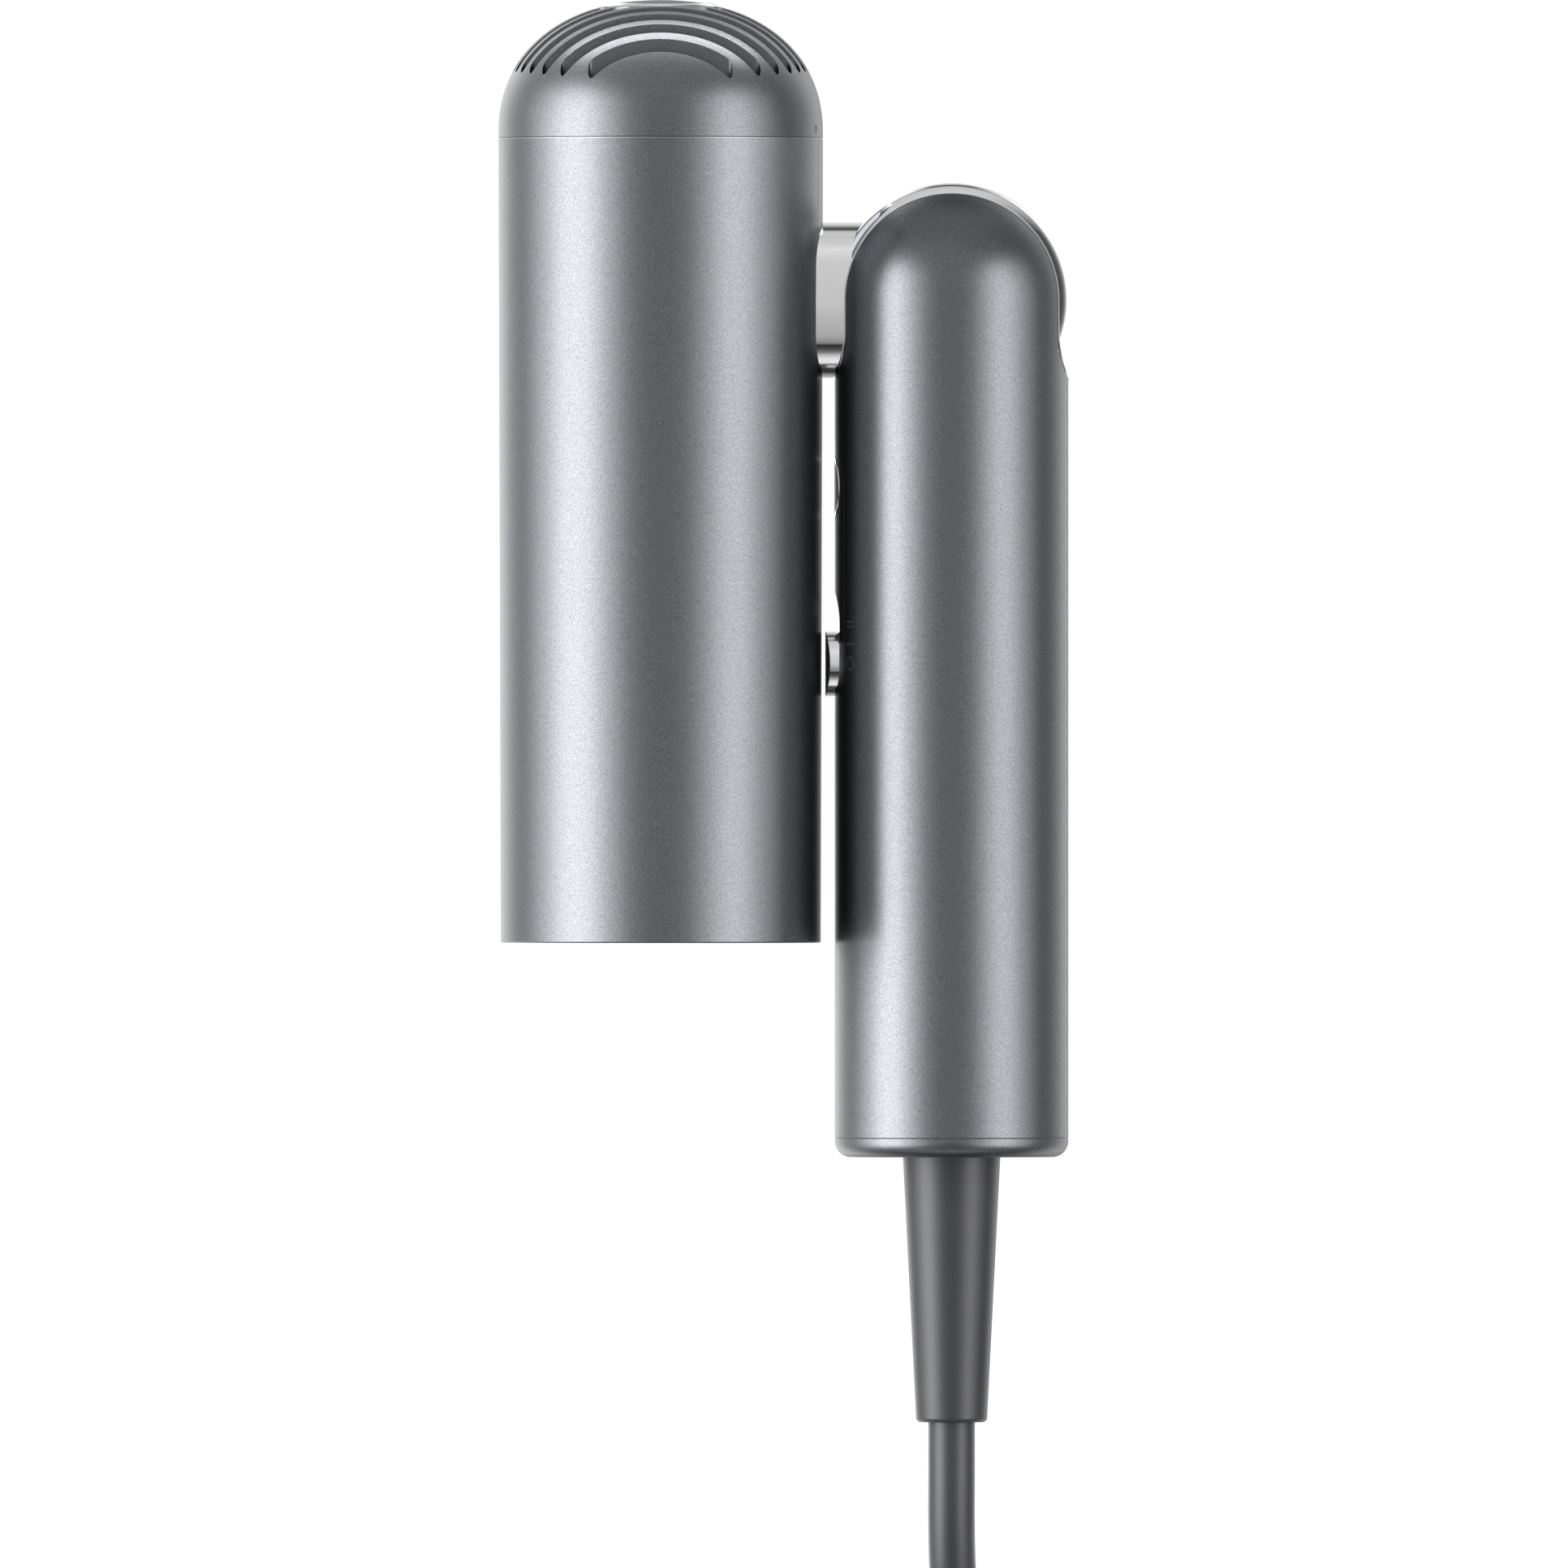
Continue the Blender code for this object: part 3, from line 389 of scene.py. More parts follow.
WAVE_SCALE = 0.314  # gives the wave texture one band in each pitch


def woven_mesh(name, colour, pitch):
    """Fine filter cloth: two crossed sets of wires, dark between them."""
    material, nodes, links, shader = new_material(name, colour, 0.6, 0.2)
    coords = nodes.new("ShaderNodeTexCoord")
    waves = []
    for direction in ("X", "Z"):
        wave = nodes.new("ShaderNodeTexWave")
        wave.bands_direction = direction
        wave.inputs["Scale"].default_value = WAVE_SCALE / (pitch * MM)
        links.new(coords.outputs["Object"], wave.inputs["Vector"])
        waves.append(wave)
    crossed = nodes.new("ShaderNodeMath")
    crossed.operation = "MAXIMUM"
    links.new(waves[0].outputs["Fac"], crossed.inputs[0])
    links.new(waves[1].outputs["Fac"], crossed.inputs[1])
    ramp = nodes.new("ShaderNodeValToRGB")
    ramp.color_ramp.elements[0].color = (*(Vector(colour) * 0.45), 1.0)
    ramp.color_ramp.elements[1].color = (*(Vector(colour) * 1.25), 1.0)
    links.new(crossed.outputs[0], ramp.inputs["Fac"])
    links.new(ramp.outputs["Color"], shader.inputs["Base Color"])
    bump = nodes.new("ShaderNodeBump")
    bump.inputs["Distance"].default_value = 0.06 * MM
    links.new(crossed.outputs[0], bump.inputs["Height"])
    links.new(bump.outputs["Normal"], shader.inputs["Normal"])
    return material


# Name, colour, roughness, metallic, then the grain: size, depth, dark and light levels
SATIN = grained("satin_metal", (0.134, 0.137, 0.145), 0.36, 1.0, 0.20, 0.006, 0.72, 1.30)
# A lighter copy of the satin: painted highlight, for the bright line on the barrel's seam edge
SATIN_PAINTED_HIGHLIGHT = grained("satin_edge_painted_highlight", (0.25, 0.253, 0.262), 0.36, 1.0, 0.20, 0.004, 0.85, 1.15)
CHROME = grained("polished_chrome", (0.90, 0.90, 0.905), 0.06, 1.0, 3.0, 0.001, 0.98, 1.0)
STEEL = grained("plain_steel", (0.55, 0.55, 0.56), 0.32, 1.0, 0.5, 0.004, 0.9, 1.05)
ALUMINIUM = grained("machined_aluminium", (0.66, 0.66, 0.68), 0.36, 1.0, 0.4, 0.005, 0.9, 1.05)
DARK_PLASTIC = grained("dark_plastic_grain", (0.045, 0.047, 0.052), 0.42, 0.0, 0.3, 0.008, 0.85, 1.15)
CHARCOAL = grained("charcoal_plastic", (0.0175, 0.0184, 0.0215), 0.38, 0.0, 0.35, 0.010, 0.88, 1.12)
CORD_RUBBER = grained("cord_rubber", (0.0195, 0.0204, 0.0235), 0.40, 0.0, 0.4, 0.012, 0.88, 1.12)
PALE_PLASTIC = grained("pale_plastic", (0.60, 0.60, 0.58), 0.5, 0.0, 0.5, 0.006, 0.94, 1.03)
MICA = grained("mica_sheet", (0.60, 0.50, 0.34), 0.45, 0.0, 1.2, 0.02, 0.75, 1.15)
BOARD = grained("board_lacquer", (0.03, 0.16, 0.07), 0.4, 0.0, 1.0, 0.01, 0.8, 1.15)
COPPER = grained("enamelled_copper", (0.60, 0.28, 0.12), 0.3, 1.0, 0.4, 0.02, 0.8, 1.1)
FROSTED = grained("frosted_lens", (0.72, 0.76, 0.80), 0.3, 0.0, 0.4, 0.004, 0.95, 1.03)
PALE_MARK = grained("pale_mark", (0.085, 0.087, 0.092), 0.5, 0.6, 0.3, 0.002, 0.9, 1.1)
FILTER_CLOTH = woven_mesh("filter_cloth", (0.021, 0.0215, 0.0245), 0.45)


# ---------------------------------------------------------------- camera, light and floor


PICTURE_W = 241.5  # width of the picture, at the height of the two axes
PICTURE_MIDDLE = (0.09, -11.2)


def make_camera():
    """Looks straight down on the dryer, from so far that its rays are close to parallel."""
    camera = bpy.data.cameras.new("camera")
    camera.lens = 1600
    camera.sensor_width = 36
    away = camera.lens * PICTURE_W / camera.sensor_width
    camera.clip_start, camera.clip_end = 1, 40
    obj = new_object("camera", camera)
    obj.location = Vector((*PICTURE_MIDDLE, MID_Z + away)) * MM
    bpy.context.scene.camera = obj


def make_world():
    """Soft studio light from all round, with darker and lighter walls, and white behind everything."""
    world = bpy.data.worlds.new("studio")
    bpy.context.scene.world = world
    world.use_nodes = True
    nodes, links = world.node_tree.nodes, world.node_tree.links
    nodes.clear()
    coords = nodes.new("ShaderNodeTexCoord")
    split = nodes.new("ShaderNodeSeparateXYZ")
    links.new(coords.outputs["Generated"], split.inputs[0])

    def math_node(operation, *values):
        node = nodes.new("ShaderNodeMath")
        node.operation = operation
        for k, value in enumerate(values):
            if isinstance(value, float):
                node.inputs[k].default_value = value
            else:
                links.new(value, node.inputs[k])
        return node.outputs[0]

    def level(value, stops, low, high):
        """The level at a value between low and high, from (value, level) stops."""
        most = float(max(amount for _, amount in stops))
        scale = nodes.new("ShaderNodeMapRange")
        scale.inputs["From Min"].default_value = low
        scale.inputs["From Max"].default_value = high
        ramp = nodes.new("ShaderNodeValToRGB")
        elements = ramp.color_ramp.elements
        while len(elements) < len(stops):
            elements.new(0.5)
        for element, (at, amount) in zip(elements, stops):
            element.position = (at - low) / (high - low)
            element.color = (amount / most, amount / most, amount / most, 1.0)
        links.new(value, scale.inputs["Value"])
        links.new(scale.outputs[0], ramp.inputs["Fac"])
        return math_node("MULTIPLY", ramp.outputs["Color"], most)

    # Degrees from straight up: round the dryer's length towards +X, and along it towards the intake
    x, y, z = split.outputs["X"], split.outputs["Y"], split.outputs["Z"]
    around = math_node("MULTIPLY", math_node("ARCTAN2", x, z), math.degrees(1.0))
    along = math_node("MULTIPLY", math_node("ARCTAN2", y, z), math.degrees(1.0))
    across_level = level(around, AROUND, -180.0, 180.0)
    along_level = level(along, ALONG, -180.0, 180.0)
    far_x, far_y = math_node("ABSOLUTE", x), math_node("ABSOLUTE", y)
    share = math_node("DIVIDE", far_y, math_node("ADD", math_node("ADD", far_x, far_y), 0.001))
    by_share, by_reach = level(share, ENDS_BY_SHARE, 0.0, 1.0), level(far_y, ENDS_BY_REACH, 0.0, 1.0)
    ends = math_node("MAXIMUM", by_share, by_reach)
    sides = math_node("SUBTRACT", 1.0, ends)
    across_part = math_node("MULTIPLY", across_level, sides)
    lit = math_node("ADD", across_part, math_node("MULTIPLY", along_level, ends))
    light = nodes.new("ShaderNodeBackground")
    links.new(lit, light.inputs["Strength"])
    plain = nodes.new("ShaderNodeBackground")
    plain.inputs["Color"].default_value = (1, 1, 1, 1)
    path = nodes.new("ShaderNodeLightPath")
    mix = nodes.new("ShaderNodeMixShader")
    links.new(path.outputs["Is Camera Ray"], mix.inputs["Fac"])
    links.new(light.outputs[0], mix.inputs[1])
    links.new(plain.outputs[0], mix.inputs[2])
    out = nodes.new("ShaderNodeOutputWorld")
    links.new(mix.outputs[0], out.inputs["Surface"])


# The room's level by direction, as (degrees from straight up, level), and where the dryer's ends take over
AROUND = (
    (-180, 1.3), (-168, 2.0), (-150, 2.9), (-138, 2.0), (-122, 1.0), (-95, 0.8), (-60, 0.7), (-25, 0.68),
    (0, 0.76), (24, 0.6), (42, 0.3), (56, 0.1), (78, 0.1), (92, 0.2), (106, 0.4), (120, 0.8), (134, 1.7),
    (152, 1.9), (164, 0.9), (180, 0.9),
)  # fmt: skip
ALONG = (
    (-180, 0.8), (-157, 0.64), (-135, 0.34), (-121, 0.05), (-104, 0.05), (-97, 0.16), (-89, 0.3),
    (-82, 1.08), (-73, 1.08), (-65, 0.9), (-57, 0.58), (-50, 0.26), (-43, 0.12), (-36, 0.06), (-30, 0.035),
    (-25, 0.31), (-16, 0.43), (-8, 0.6), (0, 0.76), (20, 0.84), (46, 1.0), (60, 0.85), (87, 0.76), (99, 0.80),
    (107, 0.62), (113, 0.1), (121, 0.11), (130, 0.37), (141, 0.81), (157, 0.95), (180, 0.8),
)  # fmt: skip
ENDS_BY_SHARE = ((0, 0), (0.55, 0), (0.85, 1), (1, 1))
ENDS_BY_REACH = ((0, 0), (0.6, 0), (0.92, 1), (1, 1))


SOFT_BOX_TARGET = (0, -0.02, 0.025)  # near the folded dryer's middle, in metres


def soft_box(name, direction, size, radiance, pieces):
    """A soft box a metre from the dryer, that lights only these pieces."""
    light = bpy.data.lights.new(name, "AREA")
    light.shape = "RECTANGLE"
    light.size, light.size_y = size
    light.energy = radiance * math.pi * light.size * light.size_y
    box = new_object(name, light)
    box.location = Vector(SOFT_BOX_TARGET) + Vector(direction)
    back = Vector(direction).normalized()
    up = (Vector((0, 1, 0)) - back * back.y).normalized()
    box.rotation_euler = Matrix((up.cross(back), up, back)).transposed().to_euler()
    box.visible_camera = False
    lit = bpy.data.collections.new("lit_by_" + name)
    for piece in pieces:
        lit.objects.link(piece)
    box.light_linking.receiver_collection = lit


# Name, degrees from straight up towards +X, degrees across, radiance
SOFT_BOXES = (
    ("left_box", -64, 34, 4.6),
    ("left_surround", -66, 72, 2.2),
    ("right_box", 53, 26, 2.9),
    ("right_surround", 56, 60, 1.6),
)
SOFT_BOX_LENGTH = 1.4


def make_soft_boxes():
    """Two long soft boxes beside the dryer, a hot middle and a wide dim surround each.

    They light everything but the polished pieces, which mirror the plain room. Two more light one piece each.
    """
    pieces = [piece for piece in bpy.context.scene.objects if piece.type in {"MESH", "CURVE"}]
    pieces = [piece for piece in pieces if CHROME.name not in piece.data.materials]
    for name, around, wide, radiance in SOFT_BOXES:
        turn = math.radians(around)
        size = 2 * math.tan(math.radians(wide / 2)), SOFT_BOX_LENGTH
        soft_box(name, (math.sin(turn), 0, math.cos(turn)), size, radiance, pieces)
    # Lights the intake's crown from beyond it
    turn = math.radians(101)
    dome_only = [bpy.data.objects["intake_dome"]]
    soft_box("end_box", (0, math.sin(turn), math.cos(turn)), (1.5, 0.42), 7.5, dome_only)
    # Brightens the barrel's side where the hinge arm mirrors it
    tube_only = [bpy.data.objects["barrel_tube"]]
    soft_box("corner_box", (0.62, 0.75, 0.15), (1.1, 1.1), 6.0, tube_only)


def make_floor():
    """A plain pale floor, bright enough to stay white, with a breath of shadow."""
    mesh = bpy.data.meshes.new("floor")
    half = 12.0
    corners = [(x, y, 0) for x, y in rectangle(-half, half, -half, half)]
    mesh.from_pydata(corners, [], [(0, 1, 2, 3)])
    floor = new_object("floor", mesh)
    floor.location.z = -0.0002
    material, nodes, links, shader = new_material("pale_floor", (0.10, 0.10, 0.10), 0.9, 0.0)
    shader.inputs["Emission Color"].default_value = (1, 1, 1, 1)
    shader.inputs["Emission Strength"].default_value = 0.97
    mesh.materials.append(material)
    floor.visible_glossy = False
    floor.visible_shadow = False
    bpy.context.scene.view_settings.view_transform = "Standard"


# ---------------------------------------------------------------- mains lead

COIL_X, COIL_Y = -18.1, -211.0
COIL_R, COIL_PITCH = 54.4, 7.25
LEAD_Z = 3.8  # the lead's axis where it lies on the table
# Degrees round the coil: the lead climbs to its second layer, turns back outwards, and leaves the coil
CLIMB_START, CLIMB_END, OUTWARDS, COIL_END = 1080, 1200, 1440, 2020
LEAD_ROUTE = (
    (25.9, -109.95, 25.0), (25.9, -118.0, 24.7), (25.9, -126.0, 23.2), (26.2, -134.0, 20.6),
    (27.5, -142.0, 17.3), (29.5, -150.0, 13.8), (31.7, -158.0, 10.3), (33.8, -166.0, 7.2),
    (35.4, -174.0, 5.0), (36.3, -184.0, 3.8), (36.3, -194.0, 3.8), (36.3, -204.0, 3.8),
)  # fmt: skip
TAIL_ROUTE = (
    (-51.4, -171.3, 11.5), (-44.1, -166.0, 12.7), (-36.0, -162.0, 14.4),
    (-27.2, -159.4, 16.6), (-18.6, -159.1, 18.8), (-9.9, -161.5, 21.1), (-2.3, -166.3, 23.3),
    (3.5, -173.1, 25.2), (7.0, -181.4, 26.5), (8.0, -188.9, 27.1), (8.0, -193.2, 27.2),
)  # fmt: skip


def ease(share):
    """A smooth step from 0 to 1."""
    return share**2 * (3 - 2 * share)


def coil_turns():
    """Clockwise from the lead: three turns inwards on the table, up a layer, and back outwards."""
    innermost = COIL_R - COIL_PITCH * CLIMB_END / 360
    turns = []
    for angle in range(0, COIL_END + 1, 10):
        if angle <= CLIMB_END:
            radius = COIL_R - COIL_PITCH * angle / 360
        elif angle <= OUTWARDS:
            share = (angle - CLIMB_END) / (OUTWARDS - CLIMB_END)
            radius = innermost + (COIL_R - 2 * COIL_PITCH - innermost) * ease(share)
        else:
            radius = COIL_R - 2 * COIL_PITCH + COIL_PITCH * (angle - OUTWARDS) / 360
        share = min(max((angle - CLIMB_START) / (CLIMB_END - CLIMB_START), 0), 1)
        height = LEAD_Z + COIL_PITCH * ease(share)
        turn = math.radians(-angle)
        turns.append((COIL_X + radius * math.cos(turn), COIL_Y + radius * math.sin(turn), height))
    return turns


def smooth(route, steps):
    """Points on a Catmull-Rom curve through a route."""
    points = [Vector(p) for p in route]
    points = [points[0] * 2 - points[1]] + points + [points[-1] * 2 - points[-2]]
    curve = []
    for a, b, c, d in zip(points, points[1:], points[2:], points[3:]):
        squared, cubed = 2 * a - 5 * b + 4 * c - d, 3 * b - a - 3 * c + d
        for t in (k / steps for k in range(steps)):
            curve.append(0.5 * (2 * b + (c - a) * t + squared * t**2 + cubed * t**3))
    return curve + [points[-2]]


def make_lead():
    """The mains lead in one curve: out of the relief, down to the table, round the coil, up to the plug."""
    inside = (HANDLE_X, TOP_Y - RELIEF_END_S + 3, MID_Z)
    route = smooth((inside,) + LEAD_ROUTE + tuple(coil_turns()) + TAIL_ROUTE, 3)
    lead = tube("mains_lead", route, CORD_D / 2, 5, CORD_RUBBER)
    finish_piece(lead, "handle", "rubber", "cord_lead", "cord_coil", "cord_tail")
    plug, pins = make_plug()
    tie = make_tie()


def make_tie():
    """A soft strap round the coil's left side, with rounded edges."""
    low, high, middle = span("coil_tie")
    half_x, across, half_z = (high - low) / 2
    thick, edge, bend = 0.95, 0.25, 3.4
    bm = bmesh.new()

    def loop(inset, y):
        corner = bend - inset
        reach_x, reach_z = half_x - inset - corner, half_z - inset - corner
        points = []
        for way_x, way_z, start in ((1, 1, 0), (-1, 1, 90), (-1, -1, 180), (1, -1, 270)):
            points += arc(way_x * reach_x, way_z * reach_z, corner, start, start + 90, 6)
        return [bm.verts.new((middle.x + x, middle.y + y, middle.z + z)) for x, z in points]

    outer = [(0, -across + edge), (0, across - edge), (edge, across)]
    inner = [(thick - edge, across), (thick, across - edge), (thick, -across + edge), (thick - edge, -across)]
    loops = [loop(*at) for at in [*outer, *inner, (edge, -across)]]
    bridge(bm, loops + loops[:1])
    tie = add("coil_strap", bm, Matrix.Identity(4), CHARCOAL)
    return finish_piece(tie, "handle", "dark_plastic", "coil_tie")


# The plug's outline, as (station, half its width, half its thickness)
PLUG_RINGS = (
    (0.0, 4.6, 4.6), (0.4, 4.9, 4.9), (17.0, 6.3, 6.2), (19.0, 8.0, 7.4), (22.5, 12.4, 9.6),
    (26.0, 15.9, 11.2), (29.0, 17.6, 12.1), (31.0, 18.0, 12.3), (38.6, 18.0, 12.3), (39.6, 17.6, 11.9),
    (40.0, 16.8, 11.1),
)  # fmt: skip
PIN_X = 9.5
GROOVE_START, GROOVE_PITCH, GROOVE_W = 3, 2.2, 1
GRIP_START, GRIP_PITCH, GRIP_W, GRIP_X = 31.2, 1.5, 0.7, (17.2, 20.0)


def make_plug():
    """The moulded two-pin plug: a ribbed relief, a swelling body with finger grips, and two round pins."""
    _, high, middle = span("plug_body")
    at_plug = place(STATION, middle.x, high.y, middle.z)
    bm = bmesh.new()
    loops = []
    for station, half_x, half_y in PLUG_RINGS:
        loops.append([bm.verts.new((x, y, station)) for x, y in stadium(half_x + 0.001, half_y, 12)])
    bridge(bm, loops)
    bm.faces.new(loops[0])
    bm.faces.new(loops[-1])
    body = add("mains_plug", bm, at_plug, CHARCOAL)
    grooves, grips, seats, pins = [], [], [], []
    for k in range(6):
        start = GROOVE_START + GROOVE_PITCH * k
        groove = ring(5.4 + 0.07 * k, 9, start, start + GROOVE_W)
        grooves.append(turned(f"relief_groove_{k}", groove, at_plug, segments=48))
    inner, outer = GRIP_X
    for k in range(5):
        start = GRIP_START + GRIP_PITCH * k
        for low_x, high_x in ((-outer, -inner), (inner, outer)):
            grips.append((rectangle(low_x, high_x, -7, 7), start, start + GRIP_W))
    for x in (-PIN_X, PIN_X):
        at_pin = at_plug @ place(ALONG_Z, x, 0, 0)
        seats.append(turned("pin_seat", ring(2.45, 3.1, 39.6, 42), at_pin, segments=48))
    shape(body, "DIFFERENCE", *grooves, prisms("grips", grips, at_plug), *seats)
    body.data.shade_smooth()
    body.data.set_sharp_from_angle(angle=math.radians(30))
    finish_piece(body, "handle", "dark_plastic", "plug_body")
    for name, x in (("plug_pin_left", -PIN_X), ("plug_pin_right", PIN_X)):
        tip = arc(1.4, 58.2, 1.0, 0, 90, 6)
        outline = [(0, 39.0), (2.2, 39.0), (2.2, 47.0), (2.4, 47.4)] + tip + [(0, 59.2)]
        pin = turned(name + "_metal", outline, at_plug @ place(ALONG_Z, x, 0, 0), STEEL, segments=48)
        pins.append(finish_piece(pin, "handle", "steel", name))
    return body, pins


# ---------------------------------------------------------------- intake


def dome(radius, height, steps, from_radius=0.0):
    """(radius, station) points of the intake dome, from its crown or a radius on it out to its widest."""
    points = []
    for k in range(steps + 1):
        tilt = math.radians(90 * (1 - k / steps))
        r = radius * math.cos(tilt) ** (2 / DOME_POWER) if k else 0.0
        if r > from_radius or not from_radius:
            points.append((r, DOME_H - height * math.sin(tilt) ** (2 / DOME_POWER)))
    if from_radius:
        share = 1 - (from_radius / radius) ** DOME_POWER
        points.insert(0, (from_radius, DOME_H - height * share ** (1 / DOME_POWER)))
    return points


def slit_cutters():
    """Straight, parallel slits with rounded corners, ending on one circle and stopping at the hub."""
    cutters = []
    for row in range(SLIT_ROWS):
        for side in (-1, 1):
            middle = side * (row + 0.5) * SLIT_PITCH
            low, high = middle - SLIT_W / 2, middle + SLIT_W / 2
            far = half_chord(SLIT_END_R, middle)
            near_low, near_high = (max(half_chord(HUB_R + SLIT_TO_HUB, y), 0.01) for y in (low, high))
            outlines = [[(way * near_low, low), (way * far, low), (way * far, high), (way * near_high, high)]
                        for way in (-1, 1)]  # fmt: skip
            if min(near_low, near_high) < SHORTEST_NOTCH:
                # The slit passes the hub, or nearly does, so it stays whole
                outlines = [rectangle(-far, far, low, high)]
            cutters += [(rounded(outline, SLIT_CORNER), *SLIT_CUT) for outline in outlines]
    return cutters


def make_intake():
    """The slotted dome, the bright ring and dark disc in its crown, and its printed mark."""
    outer = dome(BARREL_R, DOME_H, 72, HUB_R)
    inner = dome(BARREL_BORE_R, DOME_INNER_H, 40)
    end = SEAM_S - SEAM_GAP
    lip = [(BARREL_R, end - 0.03), (BARREL_R - 0.03, end), (BARREL_BORE_R, end)]
    hub = [(0, 1.45), (6.9, 1.45), (6.9, 1.3), (8.9, 1.3)]
    outline = hub + outer + lip + inner[::-1]
    cap = turned("intake_dome", outline, IN_BARREL, SATIN, segments=192)
    shape(cap, "DIFFERENCE", prisms("slits", slit_cutters(), IN_BARREL))
    shade_turned(cap, [(IN_BARREL, outline)])
    finish_piece(cap, "intake_cap", "grey_metal", "intake_cap")

    rim = arc(7.45, 0.9, 0.35, 180, 270, 8) + arc(8.0, 1.25, 0.7, 270, 360, 10)
    rim = [(7.1, 1.45)] + rim + [(8.7, 1.45)]
    bright = turned("crown_ring", rim, IN_BARREL, CHROME, segments=160)
    finish_piece(bright, "intake_cap", "chrome", "cap_ring")
    # The disc in the ring is a little hollow
    face = [(r, 0.5 * (r / 6.7) ** 2) for r in (0, 1.5, 3, 4.5, 5.5, 6.2, 6.7)]
    outline = [(0, 1.4)] + face + [(6.9, 0.75), (6.9, 1.4)]
    disc = turned("crown_disc", outline, IN_BARREL, DARK_PLASTIC, segments=128)
    finish_piece(disc, "intake_cap", "dark_plastic", "cap_disc")
    # The small ring that marks the closed position, printed on the dome's side
    at_mark = IN_BARREL @ place(facing(1, math.asin(7.2 / BARREL_R)), 0, 0, 20.0)
    outline = ring(0.46, 0.66, BARREL_R - 0.4, BARREL_R + 0.015)
    mark = turned("closed_mark", outline, at_mark, PALE_MARK, segments=40)
    finish_piece(mark, "intake_cap", "grey_metal")


def make_filter():
    """The domed filter cloth under the intake, which stays on its collar."""
    outer_r, inner_r, skirt = 22.3, 21.7, 19.6
    outer, inner = dome(outer_r, 17.9, 40), dome(inner_r, 17.3, 40)
    outline = outer + [(outer_r, skirt), (inner_r, skirt)] + inner[::-1]
    cloth = turned("filter_cloth_dome", outline, IN_BARREL, FILTER_CLOTH, segments=128)
    finish_piece(cloth, "filter_collar", "mesh_grey", "filter_mesh")


# ---------------------------------------------------------------- barrel


def barrel_outline():
    """(radius, station) points of the barrel's wall, from its seam to its outlet and back inside."""
    chamfer = 0.18
    start = SEAM_S + SEAM_GAP
    return [
        (BARREL_R - 0.12, start),
        (BARREL_R, start + 0.12),
        (BARREL_END_R, OUTLET_S - chamfer),
        (BARREL_END_R - chamfer, OUTLET_S),
        (BARREL_BORE_R + chamfer, OUTLET_S),
        (BARREL_BORE_R, OUTLET_S - chamfer),
        (BARREL_BORE_R, start),
    ]


def make_barrel():
    """The drawn tube with its neck hole, the two lines of its cover strip, and the seam to the intake, with a
    painted highlight line on the seam's edge.
    """
    outline = barrel_outline()
    shell = turned("barrel_tube", outline, IN_BARREL, SATIN, segments=256)
    clearance = 0.22
    around_neck = stadium(NECK_H / 2 + clearance, NECK_W / 2 + clearance)
    hole = prisms("neck_hole", [(around_neck, 10, 30)], NECK_FRAME)
    lines = []
    for middle in (-STRIP_LINE_Y, STRIP_LINE_Y):
        across = rectangle(10, 30, middle - STRIP_LINE_W / 2, middle + STRIP_LINE_W / 2)
        lines.append((across, SEAM_S - 1, HINGE_S - 6))
    skin_r = BARREL_R - STRIP_LINE_DEPTH
    skin = turned("groove_skin", ring(0, skin_r, 0, 90), IN_BARREL, segments=128)
    cutter = shape(prisms("strip_lines", lines, IN_BARREL), "DIFFERENCE", skin)
    shape(shell, "DIFFERENCE", hole, cutter)
    shade_turned(shell, [(IN_BARREL, outline)])
    finish_piece(shell, "barrel", "grey_metal", "barrel_shell", "spine_cover")
    # A thin ring of lighter satin on the seam's edge: a painted highlight line
    start = SEAM_S + SEAM_GAP
    rim = ring(BARREL_R - 0.3, BARREL_R + 0.01, start, start + 0.13)
    edge = turned("seam_painted_highlight", rim, IN_BARREL, SATIN_PAINTED_HIGHLIGHT, segments=256)
    finish_piece(edge, "barrel", "grey_metal")
    fill = ring(BARREL_BORE_R + 0.2, BARREL_R - 0.15, SEAM_S - SEAM_GAP + 0.01, start + 0.01)
    seal = turned("seam_seal", fill, IN_BARREL, DARK_PLASTIC, segments=192)
    finish_piece(seal, "barrel", "dark_plastic")


def neck_outline():
    """The neck's section: round above and below, with very slightly crowned sides."""
    half, crown = NECK_W / 2, 6
    reach = NECK_H / 2 - half
    turn = math.radians(crown)
    big = (reach + half * math.sin(turn)) / math.sin(turn)
    away = big * math.cos(turn) - half * math.cos(turn)
    upper_end = arc(reach, 0, half, crown - 90, 90 - crown, 40)
    one_side = arc(0, -away, big, 90 - crown, 90 + crown, 12)[1:-1]
    lower_end = arc(-reach, 0, half, 90 + crown, 270 - crown, 40)
    other_side = arc(0, away, big, 270 - crown, 270 + crown, 12)[1:-1]
    return upper_end + one_side + lower_end + other_side


def make_hinge_arm():
    """The bright arm: disc and neck are one casting, and the disc has a rolled edge."""
    middle_r, middle_h = HANDLE_R - DISC_EDGE, DISC_HALF - DISC_EDGE
    rim = arc(middle_r, -middle_h, DISC_EDGE, -90, 0, 14) + arc(middle_r, middle_h, DISC_EDGE, 0, 90, 14)
    disc_outline = [(0, -DISC_HALF)] + rim + [(0, DISC_HALF)]
    arm = turned("bright_hinge_arm", disc_outline, ON_HINGE, CHROME, segments=256)
    neck = prisms("neck", [(neck_outline(), 19.6, AXIS_GAP - 8)], NECK_FRAME)
    shape(arm, "UNION", neck)
    bore = turned("pin_bore", ring(0, 3.6, -20, 20), ON_HINGE, segments=64)
    shape(arm, "DIFFERENCE", bore)
    shade_turned(arm, [(ON_HINGE, disc_outline)], [(NECK_FRAME, neck_outline())], crease=30)
    finish_piece(arm, "barrel", "chrome", "hinge_arm")


